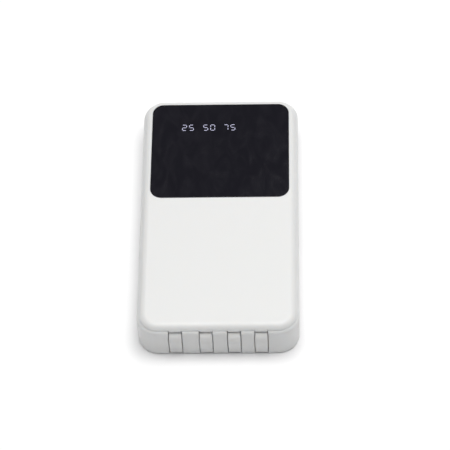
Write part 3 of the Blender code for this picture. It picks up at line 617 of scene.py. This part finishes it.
def cut_openings(shell):
    """Cut the sockets' and the button's openings, with their outer edges rounded over."""
    wall_y = SHELL[1][1]
    inside = wall_y - SIDE_WALL - 1.0
    cans = [(spans(f"usb_a_socket_{side}_shell"), 0.6) for side in SIDES]
    cans.append((spans("usb_c_socket_shell"), 1.55))
    for (x_span, _, z_span), radius in cans:
        def shape(grow, x_span=x_span, z_span=z_span, radius=radius):
            return rounded(x_span, z_span, radius, GAP + grow, 6)
        boolean(shell, stack("opening", "y", shape, flare(wall_y, -1.0, 0.35) + [(inside, 0.0)]))
    cap = button_cap()

    def pill(grow):
        return rounded(cap[0], cap[1], size(cap[1]) / 2 - 0.05, GAP - 0.08 + grow, 12)
    wall_x = SHELL[0][1]
    sections = flare(wall_x, -1.0, 0.25) + [(wall_x - SIDE_WALL - 1.0, 0.0)]
    boolean(shell, stack("opening", "x", pill, sections))


def button_cap():
    """Return the Y and Z spans of the button's cap, inside its flange."""
    margin_y, margin_z = 0.7, 0.5
    y_span = (BUTTON[1][0] + margin_y, BUTTON[1][1] - margin_y)
    z_span = (BUTTON[2][0] + margin_z, BUTTON[2][1] - margin_z)
    return y_span, z_span


def make_lower_shell():
    """The lower shell: ledge, slots, channels, pockets, scoop and openings."""
    rings = [*shell_rings(), (SIDE_WALL, RIM_Z), (SIDE_WALL, LEAD_END_STEP + 0.1)]
    outlines = [along("z", housing_outline(inset), z) for inset, z in rings]
    for z in (LEAD_END_STEP, FLOOR_TOP):
        outlines.append(along("z", housing_outline(SIDE_WALL, LEAD_END_WALL), z))
    shell = loft("lower_shell_fine", outlines)
    into_wall, into_floor = 0.9, 0.6
    roof_x = (SHELL[0][0] + SIDE_WALL - into_wall, SHELL[0][1] - SIDE_WALL + into_wall)
    roof_z = (FLOOR_TOP - into_floor, GRIP["usb_a"][2][1] + POCKET_ROOF + ROOF_SKIN)
    boolean(shell, block("roof", roof_x, ROOF_Y, roof_z), "UNION")
    for lead in LEADS:
        cut_slot(shell, lead)
        cut_pocket(shell, lead)
    cut_finger_scoop(shell)
    cut_openings(shell)
    place(shell, "housing", SKINS["housing"], ["lower_shell"])


def make_top_cover():
    """The top cover: a softly rounded lid with the panel's recess."""
    def outline(inset):
        return housing_outline(LEDGE + inset)
    width, height = COVER_EDGE
    bottom = RIM_Z + PARTING_GAP
    tongue_low = COVER[2][0]
    tongue_out = SIDE_WALL + GAP - LEDGE
    tongue_in = tongue_out + 1.2
    rings = [(tongue_out + 2.7, TOP_Z - 1.8), (tongue_in, TOP_Z - 2.5), (tongue_in, tongue_low)]
    rings += [(tongue_out, tongue_low), (tongue_out, bottom), (0.08, bottom), (0.0, bottom + 0.07)]
    start = cos(radians(COVER_EDGE_START))
    for step in range(FILLET_SEGMENTS + 1):
        angle = radians(COVER_EDGE_START + (90.0 - COVER_EDGE_START) * step / FILLET_SEGMENTS)
        rings.append((width * (start - cos(angle)), TOP_Z - height * (1 - sin(angle))))
    cover = loft("top_cover_fine", [along("z", outline(inset), z) for inset, z in rings])

    def recess(grow):
        return rounded(PANEL[0], PANEL[1], PANEL_RADIUS, PANEL_GAP + grow, 12)
    bed_z = MODULE[2][1]
    margin = 2.0
    bed_x = (COVER[0][0] + margin, COVER[0][1] - margin)
    bed_y = (PANEL[1][0] - margin, COVER[1][1] - margin)
    bed = block("bed", bed_x, bed_y, (bed_z - 1.0, TOP_Z - 1.6), CORNER_RADIUS - LEDGE - margin, 12)
    boolean(cover, bed, "UNION")
    boolean(cover, stack("recess", "z", recess, flare(TOP_Z, -1.0, 0.12) + [(bed_z, 0.0)]))
    window = [(MODULE[i][0] - GAP, MODULE[i][1] + GAP) for i in (0, 1)]
    boolean(cover, block("window", window[0], window[1], (bed_z - 1.5, bed_z + 0.5), 1.1))
    passage_x = (LEAD_X["usb_a"] - 4.4, LEAD_X["slim"] + 4.4)
    passage_y = (SHELL[1][0] + SIDE_WALL, SHELL[1][0] + SIDE_WALL + 1.8)
    boolean(cover, block("passage", passage_x, passage_y, (tongue_low - 0.5, bottom + 0.3)))
    for lead in LEADS:
        half = SLOT_WIDTH / 2 - GAP
        tab_x = (LEAD_X[lead] - half, LEAD_X[lead] + half)
        tab_y = (COVER[1][0] + 0.02, COVER[1][0] + 1.6)
        boolean(cover, block("tab", tab_x, tab_y, (RIM_Z + GAP - TAB_DROP, bottom + 0.2), 0.15), "UNION")
    place(cover, "housing", SKINS["housing"], ["top_cover"])


def make_panel():
    """The mirror panel, with a fine polished edge."""
    def outline(grow):
        return rounded(PANEL[0], PANEL[1], PANEL_RADIUS, grow, 16)
    edge = 0.14
    sections = [(PANEL[2][0], 0.0)]
    for step in range(5):
        a = radians(90.0 * step / 4)
        sections.append((PANEL[2][1] - edge * (1 - sin(a)), -edge * (1 - cos(a))))
    panel = stack("display_panel_fine", "z", outline, sections)
    place(panel, "housing", SKINS["display_panel"], ["display_panel"])


# ---------------------------------------------------------------- lit numbers

SEGMENTS = {                  # seven-segment strokes: ends on a grid one wide and two high
    "a": ((0, 2), (1, 2)),
    "b": ((1, 1), (1, 2)),
    "c": ((1, 0), (1, 1)),
    "d": ((0, 0), (1, 0)),
    "e": ((0, 0), (0, 1)),
    "f": ((0, 1), (0, 2)),
    "g": ((0, 1), (1, 1)),
}
GLYPHS = {"0": "abcdef", "2": "abged", "5": "afgcd", "7": "abc"}
NUMBERS = (("25", -14.3), ("50", -4.95), ("75", 3.95))    # a number and the X of its middle
DIGIT_WIDTH = 1.8
DIGIT_HEIGHT = 3.0
DIGIT_PITCH = 3.05
STROKE = 0.25
LIGHT_LIFT = 0.012
LIGHT_DEPTH = 0.02


def stroke(start, end):
    """Make one lit stroke: a thin six-sided bar that stops short of its neighbours."""
    direction = Vector(end) - Vector(start)
    length = direction.length
    direction.normalize()
    across = Vector((-direction.y, direction.x))
    tip, shoulder = 0.16, 0.34
    shape = [(tip, 0), (shoulder, 0.5), (length - shoulder, 0.5)]
    shape += [(length - tip, 0), (length - shoulder, -0.5), (shoulder, -0.5)]
    outline = []
    for run, side in shape:
        point = Vector(start) + direction * run + across * side * STROKE
        outline.append((point.x, point.y))
    top = TOP_Z + LIGHT_LIFT
    return loft("stroke", [along("z", outline, z) for z in (top, top + LIGHT_DEPTH)])


def make_numbers():
    """The charge numbers that shine through the panel."""
    row_y = middle(MODULE[1]) - DIGIT_HEIGHT / 2
    strokes = []
    for text, centre in NUMBERS:
        for index, digit in enumerate(text):
            left = centre + (index - 0.5) * DIGIT_PITCH - DIGIT_WIDTH / 2
            for name in GLYPHS[digit]:
                ends = [(left + x * DIGIT_WIDTH, row_y + y * DIGIT_HEIGHT / 2) for x, y in SEGMENTS[name]]
                strokes.append(stroke(*ends))
    numbers = join("lit_numbers", strokes)
    place(numbers, "housing", SKINS["lights"])


# ---------------------------------------------------------------- leads

def strap_section(y, z, slope):
    """Return a strap's cross-section at a point of its centre line, square to its slope in degrees."""
    half_width = STRAP_WIDTH / 2
    half = STRAP_THICKNESS / 2
    turn = radians(slope)
    ring = []
    for across, up in rounded((-half_width, half_width), (-half, half), 0.32, 0.0, 5):
        ring.append((across, y - up * sin(turn), z + up * cos(turn)))
    return ring


def upper_path():
    """Return the strap's way from its clamp, over the end wall and most of the way down it: y, z, slope."""
    root_end = spans("usb_a_strap_root")[1][1]
    level = STRAP_TOP_Z - STRAP_THICKNESS / 2
    length = root_end - TOP_BEND[0]
    path = []
    for step in range(12):
        share = step / 12
        lean = degrees(atan(6 * share * (1 - share) * BEND_RISE / length))
        path.append((root_end - share * length, level + BEND_RISE * smooth(share), 180.0 - lean))
    path += bend(TOP_BEND, TOP_BEND_INNER, 90)
    face = STRAP_FACE_Y + STRAP_THICKNESS / 2
    drop = JOIN_Z - JOIN_OVERLAP - TOP_BEND[1]
    steps = 10
    path += [(face, TOP_BEND[1] + drop * step / steps, 270.0) for step in range(1, steps + 1)]
    return bulged(path)


def bulged(path):
    """Return a strap's way down the wall with its upper bend standing out of the slot."""
    eased = []
    for y, z, slope in path:
        share = min(max((z - BULGE_END) / (TOP_BEND[1] - BULGE_END), 0.0), 1.0)
        eased.append((y - BULGE * smooth(share), z, slope))
    return eased


def bend(centre, inner, start):
    """Return a quarter turn of a strap's centre line about a centre, from a start angle: y, z, slope."""
    across, down = (half_axis + STRAP_THICKNESS / 2 for half_axis in inner)
    path = []
    for step in range(25):
        a = radians(start + 90.0 * step / 24)
        slope = degrees(atan2(down * cos(a), -across * sin(a)))
        path.append((centre[0] + across * cos(a), centre[1] + down * sin(a), slope))
    return path


def lower_path():
    """Return the strap's way on down the wall, round the bottom edge and along the underside."""
    face = STRAP_FACE_Y + STRAP_THICKNESS / 2
    low = STRAP_LOW_Z + STRAP_THICKNESS / 2
    steps = 8
    path = bulged([(face, JOIN_Z + (LOW_BEND[1] - JOIN_Z) * step / steps, 270.0) for step in range(steps)])
    path += bend(LOW_BEND, LOW_BEND_INNER, 180)
    end = GRIP["usb_a"][1][0] + 0.5
    run = end - LOW_BEND[0]
    steps = 40
    for step in range(1, steps + 1):
        share = step / steps
        rise = (PLUG_Z - low) * share
        path.append((LOW_BEND[0] + run * share, low + rise, RUN_SLOPE))
    return path


def make_strap(lead):
    """A lead's flat strap, in two meshes that meet low down on the end wall.
    """
    half = STRAP_THICKNESS / 2
    for name, path, nodes, bodies, ends in (
        (
            "upper", upper_path(), [f"{lead}_strap_root", f"{lead}_strap_drop"],
            ("housing", f"{lead}_lead_base"),
            ((STRAP_FACE_Y + TOP_BLEND, STRAP_TOP_Z - half), (STRAP_FACE_Y + half, STRAP_TOP_Z - TOP_BLEND)),
        ),
        (
            "lower", lower_path(), [f"{lead}_strap_run"],
            (f"{lead}_lead_base", f"{lead}_lead"),
            ((STRAP_FACE_Y + half, LOW_BEND[1] + LOW_BLEND), (LOW_BEND[0] + LOW_BLEND, STRAP_LOW_Z + half)),
        ),
    ):
        rings = []
        for place_on_path in path:
            rings.append([(LEAD_X[lead] + x, y, z) for x, y, z in strap_section(*place_on_path)])
        strap = loft(f"{lead}_strap_{name}", rings)
        strap.data.materials.append(SKINS["strap_rubber"])
        shade(strap, 50.0)
        bake(strap)
        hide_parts(*nodes)
        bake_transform(strap)


def make_grip(lead):
    """A plug's moulded grip: a strain relief that swells into a body with shallow finger grooves."""
    x_span, y_span, z_span = GRIP[lead]
    length = size(y_span)
    half = (size(x_span) / 2, size(z_span) / 2)
    neck = (STRAP_WIDTH / 2 + 0.35, STRAP_THICKNESS / 2 + 0.35)
    swell = 5.2
    end_radius = 0.7
    stations = []
    for step in range(13):
        share = step / 12
        stations.append((share * swell, [neck[i] + (half[i] - neck[i]) * smooth(share) for i in (0, 1)], 0.0))
    first, last = swell + 2.2, length - 3.0
    grooves = 5
    groove_shape = ((-0.55, 0.0), (-0.34, 0.1), (-0.15, 0.24), (0.15, 0.24), (0.34, 0.1), (0.55, 0.0))
    for groove in range(grooves):
        centre = first + (last - first) * groove / (grooves - 1)
        for offset, dip in groove_shape:
            stations.append((centre + offset, half, dip))
    for step in range(6):
        a = radians(90.0 * step / 5)
        end_half = [part - end_radius * (1 - cos(a)) for part in half]
        stations.append((length - end_radius * (1 - sin(a)), end_half, 0.0))
    rings = []
    centre_x = LEAD_X[lead]
    for along_y, (half_x, half_z), dip in stations:
        half_x, half_z = half_x - dip, half_z - dip
        radius = min(half_z * 0.72, 1.9)
        width = (centre_x - half_x, centre_x + half_x)
        height = (PLUG_Z - half_z, PLUG_Z + half_z)
        rings.append(along("y", rounded(width, height, radius, 0.0, 8), y_span[0] + along_y))
    grip = loft(f"{lead}_grip_fine", rings)
    place(grip, f"{lead}_lead", SKINS["grip_rubber"], [f"{lead}_plug_grip"], 42.0)


def open_can(name, outline, back, tip, wall, lip=0.12):
    """A thin metal shell along Y, open at its tip, with a rounded lip. outline(grow) gives its section."""
    inward = -1 if tip > back else 1
    rings = [(back, 0.0)]
    for step in range(4):
        a = radians(90.0 * step / 3)
        rings.append((tip + inward * lip * (1 - sin(a)), -lip * (1 - cos(a))))
    for step in range(1, 4):
        a = radians(90.0 * step / 3)
        rings.append((tip + inward * lip * (1 - cos(a)), -wall + lip * (1 - sin(a)) * 0.8))
    rings.append((back - inward * wall, -wall))
    return stack(name, "y", outline, rings)


def trapezoid(x_span, z_span, grow, cut=(0.95, 0.75)):
    """Return the keyed section of a Micro-USB nose: its two lower corners are cut off, all corners eased."""
    x0, x1 = x_span[0] - grow, x_span[1] + grow
    z0, z1 = z_span[0] - grow, z_span[1] + grow
    corners = [(x0 + cut[0], z0), (x1 - cut[0], z0), (x1, z0 + cut[1]), (x1, z1), (x0, z1), (x0, z0 + cut[1])]
    points = []
    for index, corner in enumerate(corners):
        here = Vector(corner)
        before = Vector(corners[index - 1])
        after = Vector(corners[(index + 1) % len(corners)])
        ease = 0.22
        first = here + (before - here).normalized() * ease
        last = here + (after - here).normalized() * ease
        for step in range(4):
            share = step / 3
            point = first.lerp(here, share).lerp(here.lerp(last, share), share)
            points.append((point.x, point.y))
    return points


def contacts(name, body, x_centre, count, pitch, width, y_span, z_span):
    """A row of gold contact strips along Y."""
    strips = []
    for index in range(count):
        x = x_centre + (index - (count - 1) / 2) * pitch
        strips.append(block("strip", (x - width / 2, x + width / 2), y_span, z_span, 0.08, 2))
    row = join(name, strips)
    place(row, body, SKINS["gold"])


def make_usb_a_nose():
    """The wide plug: a folded shell with two square windows on each face, and its white contact tongue."""
    x_span, y_span, z_span = NOSE["usb_a"]
    wall = 0.32

    def section(grow):
        return rounded(x_span, z_span, 0.55, grow, 5)
    can = open_can("usb_a_nose_fine", section, y_span[0] - GAP, y_span[1], wall)
    window_y = (y_span[0] + 4.6, y_span[0] + 7.0)
    window_z = (z_span[0] - 1.0, z_span[1] + 1.0)
    for side in (-1, 1):
        x = middle(x_span) + side * 3.0
        boolean(can, block("window", (x - 1.2, x + 1.2), window_y, window_z, 0.15, 3))
    seam_x = (middle(x_span) - 0.05, middle(x_span) + 0.05)
    seam_z = (z_span[1] - 0.14, z_span[1] + 1)
    boolean(can, block("seam", seam_x, (y_span[0] - 1, y_span[1] + 1), seam_z))
    place(can, "usb_a_lead", SKINS["connector_metal"], ["usb_a_plug_shell"])
    tongue_x, tongue_y, tongue_z = spans("usb_a_plug_tongue")
    body_y = (tongue_y[0] - 0.5, tongue_y[1])
    tongue = rounded_block("usb_a_tongue_fine", tongue_x, body_y, tongue_z, 0.3, 0.12)
    place(tongue, "usb_a_lead", SKINS["white_plastic"], ["usb_a_plug_tongue"])
    strips_y = (tongue_y[0] + 0.6, tongue_y[1] - 1.0)
    strips_z = (tongue_z[1] - 0.02, tongue_z[1] + 0.08)
    contacts("usb_a_contacts", "usb_a_lead", middle(tongue_x), 4, 2.3, 1.1, strips_y, strips_z)


def make_micro_nose():
    """The keyed small plug: an open shell with two latch hooks and a thin tongue."""
    x_span, y_span, z_span = NOSE["micro_usb"]

    def section(grow):
        return trapezoid(x_span, z_span, grow)
    can = open_can("micro_usb_nose_fine", section, y_span[0] - GAP, y_span[1], 0.28, 0.1)
    place(can, "micro_usb_lead", SKINS["connector_metal"], ["micro_usb_plug_shell"])
    hooks = []
    for side in (-1, 1):
        x = middle(x_span) + side * 1.9
        outline = [(y_span[0] + 2.2, z_span[0] + 0.05), (y_span[0] + 3.6, z_span[0] + 0.05),
                   (y_span[0] + 3.5, z_span[0] - 0.22), (y_span[0] + 2.9, z_span[0] - 0.12)]
        hooks.append(loft("hook", [along("x", outline, x + edge) for edge in (-0.35, 0.35)]))
    place(join("micro_usb_hooks", hooks), "micro_usb_lead", SKINS["connector_metal"])
    tongue_x, tongue_y, tongue_z = spans("micro_usb_plug_tongue")
    body_y = (tongue_y[0] - 0.5, tongue_y[1])
    tongue = rounded_block("micro_usb_tongue_fine", tongue_x, body_y, tongue_z, 0.2, 0.06)
    place(tongue, "micro_usb_lead", SKINS["black_plastic"], ["micro_usb_plug_tongue"])
    strips_y = (tongue_y[0], tongue_y[1] - 0.3)
    strips_z = (tongue_z[0] - 0.06, tongue_z[0] + 0.02)
    contacts("micro_usb_contacts", "micro_usb_lead", middle(tongue_x), 5, 0.65, 0.32, strips_y, strips_z)


def make_usb_c_nose():
    """The oval reversible plug: a seamless shell with its dark lining and contacts inside."""
    x_span, y_span, z_span = NOSE["usb_c"]

    def section(grow):
        return rounded(x_span, z_span, min(1.22, size(z_span) / 2 - 0.02), grow, 10)
    can = open_can("usb_c_nose_fine", section, y_span[0] - GAP, y_span[1], 0.3, 0.1)
    place(can, "usb_c_lead", SKINS["connector_metal"], ["usb_c_plug_shell"])

    def lining(grow):
        return rounded(x_span, z_span, min(1.22, size(z_span) / 2 - 0.02), grow - 0.34, 10)
    core = open_can("usb_c_lining", lining, y_span[0], y_span[1] - 0.7, 0.3, 0.08)
    place(core, "usb_c_lead", SKINS["black_plastic"])
    for name, z in (("lower", z_span[0] + 0.64), ("upper", z_span[1] - 0.72)):
        contacts(f"usb_c_contacts_{name}", "usb_c_lead", middle(x_span), 8, 0.62, 0.26,
                 (y_span[0] + 0.8, y_span[1] - 1.0), (z, z + 0.08))


def make_slim_nose():
    """The slim reversible blade: a rounded metal body with a row of gold pads on each face."""
    x_span, y_span, z_span = NOSE["slim"]
    corner = 1.1
    edge = 0.22

    def outline(grow):
        x0, x1 = x_span[0] - grow, x_span[1] + grow
        tip = y_span[1] + grow
        points = [(x0, y_span[0] - GAP), (x1, y_span[0] - GAP)]
        points += arc((x1 - corner, tip - corner), corner, 0, 90, 10)
        points += arc((x0 + corner, tip - corner), corner, 90, 180, 10)
        return points
    blade = stack("slim_blade_fine", "z", outline, eased_sections(z_span, edge))
    place(blade, "slim_lead", SKINS["connector_metal"], ["slim_plug_blade"], 40.0)
    centre = middle(x_span)
    pads_y = (y_span[1] - 4.3, y_span[1] - 1.3)
    insert_x = (centre - 2.75, centre + 2.75)
    insert_y = (pads_y[0] - 0.35, pads_y[1] + 0.35)
    for name, face in (("lower", z_span[0]), ("upper", z_span[1])):
        insert = block(f"slim_insert_{name}", insert_x, insert_y, (face - 0.02, face + 0.02), 0.5, 4)
        place(insert, "slim_lead", SKINS["black_plastic"])
        pads_z = (face - 0.045, face + 0.045)
        contacts(f"slim_pads_{name}", "slim_lead", centre, 8, 0.62, 0.36, pads_y, pads_z)


# ---------------------------------------------------------------- sockets and button

def make_socket(name, radius, wall, strip_count, strip_pitch, strip_width, core_slot):
    """A socket in the far end: metal can with a rounded lip, plastic core and gold contacts."""
    x_span, y_span, z_span = spans(f"{name}_shell")

    def section(grow):
        return rounded(x_span, z_span, radius, grow, 6)
    can = open_can(f"{name}_can_fine", section, y_span[0], y_span[1], wall, 0.12)
    place(can, "housing", SKINS["connector_metal"], [f"{name}_shell"])
    dress(f"{name}_core", core_slot)
    core_x, core_y, _ = spans(f"{name}_core")
    strips_y = (core_y[1] - strip_pitch * 3.0 if strip_count == 4 else core_y[1] - 4.2, core_y[1] - 0.5)
    for row, face in enumerate(tongue_faces(name), 1):
        contacts(f"{name}_contacts_{row}", "housing", middle(core_x), strip_count, strip_pitch,
                 strip_width, strips_y, (face - 0.05, face + 0.05))


def tongue_faces(name):
    """Return the heights of the tongue's faces that carry contacts."""
    low, high = (point / MM for point in tongue_heights(name))
    return (low,) if name.startswith("usb_a") else (low, high)


def tongue_heights(name):
    """Return the lowest and highest points of the tongue's tip, in metres."""
    mesh = frame["nodes"][f"{name}_core"].data
    tip = max(vertex.co.y for vertex in mesh.vertices)
    heights = [vertex.co.z for vertex in mesh.vertices if vertex.co.y > tip - 0.0001]
    return min(heights), max(heights)


def make_button():
    """The power button: a pill with a rounded rim and a shallow dish."""
    cap = button_cap()
    face = BUTTON[0][1]

    def pill(grow):
        return rounded(cap[0], cap[1], size(cap[1]) / 2 - 0.05, grow, 14)
    wall_inside = SHELL[0][1] - SIDE_WALL - GAP
    flange, rim = 0.45, 0.4
    sections = [(BUTTON[0][0] + 0.9, flange), (wall_inside, flange), (wall_inside, 0.0)]
    for step in range(7):
        a = radians(90.0 * step / 6)
        sections.append((face - rim * (1 - sin(a)), -rim * (1 - cos(a))))
    for grow, dip in ((-0.62, 0.02), (-0.8, 0.06), (-1.1, 0.1), (-1.5, 0.12)):
        sections.append((face - dip, grow))
    button = stack("power_button_fine", "x", pill, sections)
    place(button, "power_button", SKINS["housing"], ["power_button"], 50.0)


# ---------------------------------------------------------------- inside

def make_pads():
    """The foam pads above and below the cells, as soft blocks with eased edges."""
    for node in ("battery_pad_lower", "battery_pad_upper"):
        x_span, y_span, z_span = spans(node)
        edge = min(0.3, size(z_span) / 2 - 0.05)
        pad = rounded_block(f"{node}_fine", x_span, y_span, z_span, 1.5, edge)
        place(pad, "housing", SKINS["foam"], [node])


# ---------------------------------------------------------------- stage

def make_camera():
    """The camera at the photograph's viewing angle."""
    elevation, yaw, roll = (radians(angle) for angle in (VIEW_ELEVATION, VIEW_YAW, VIEW_ROLL))
    level = Vector((cos(yaw), sin(yaw), 0.0))
    ahead = Vector((-sin(yaw), cos(yaw), 0.0))
    up = Vector((0.0, 0.0, 1.0))
    forward = ahead * cos(elevation) - up * sin(elevation)
    over = ahead * sin(elevation) + up * cos(elevation)
    right = level * cos(roll) + over * sin(roll)
    top = over * cos(roll) - level * sin(roll)
    target = Vector((*VIEW_TARGET, TOP_Z))
    camera = bpy.data.objects.new("camera", bpy.data.cameras.new("camera"))
    camera.data.sensor_width = SENSOR
    camera.data.lens = VIEW_LENS
    camera.data.clip_start = 0.01
    camera.data.clip_end = 20.0
    axes = Matrix((right, top, -forward)).transposed()
    camera.matrix_world = Matrix.Translation((target - forward * VIEW_DISTANCE) * MM) @ axes.to_4x4()
    bpy.context.scene.collection.objects.link(camera)
    bpy.context.scene.camera = camera


def make_lamp(name, position, target, width, depth, power, colour):
    """A soft rectangular lamp at a position in metres, facing a target."""
    lamp = bpy.data.lights.new(name, "AREA")
    lamp.shape = "RECTANGLE"
    lamp.size = width
    lamp.size_y = depth
    lamp.energy = power
    lamp.color = colour
    thing = bpy.data.objects.new(name, lamp)
    thing.location = position
    thing.rotation_euler = (Vector(target) - Vector(position)).to_track_quat("-Z", "Y").to_euler()
    bpy.context.scene.collection.objects.link(thing)


def make_stage():
    """White floor, overhead soft box and a dim even surround. Sizes here are in metres."""
    floor_mesh = bpy.data.meshes.new("floor")
    reach = 3.0
    corners = [(-reach, -reach, 0), (reach, -reach, 0), (reach, reach, 0), (-reach, reach, 0)]
    floor_mesh.from_pydata(corners, [], [(0, 1, 2, 3)])
    floor = bpy.data.objects.new("floor", floor_mesh)
    floor.location.z = -0.00002
    bpy.context.scene.collection.objects.link(floor)
    skin = Skin("floor_white", (0.955, 0.955, 0.96), 0.9)
    skin.vary_colour(skin.noise(400.0, 1.0), (0.95, 0.95, 0.955))
    floor_mesh.materials.append(skin.material)

    make_lamp(
        "overhead", position=(0.10, 0.085, 1.25), target=(0.0, 0.0, 0.0),
        width=1.15, depth=1.15, power=19.7, colour=(1.0, 0.995, 0.985),
    )

    world = bpy.data.worlds.new("surround")
    world.use_nodes = True
    background = world.node_tree.nodes["Background"]
    background.inputs["Color"].default_value = (0.94, 0.96, 1.0, 1.0)
    background.inputs["Strength"].default_value = 0.14
    bpy.context.scene.world = world
    bpy.context.scene.view_settings.view_transform = "Standard"
    bpy.context.scene.view_settings.look = "None"


# ---------------------------------------------------------------- build

make_camera()
dress_nodes()
make_lower_shell()
make_top_cover()
make_panel()
make_numbers()
for lead_name in LEADS:
    make_strap(lead_name)
    make_grip(lead_name)
make_usb_a_nose()
make_micro_nose()
make_usb_c_nose()
make_slim_nose()
for side_name in SIDES:
    make_socket(
        f"usb_a_socket_{side_name}", radius=0.5, wall=0.4,
        strip_count=4, strip_pitch=2.4, strip_width=1.2, core_slot="white_plastic",
    )
make_socket(
    "usb_c_socket", radius=1.5, wall=0.4,
    strip_count=8, strip_pitch=0.65, strip_width=0.3, core_slot="black_plastic",
)
make_button()
make_pads()
make_stage()

bpy.context.view_layer.update()
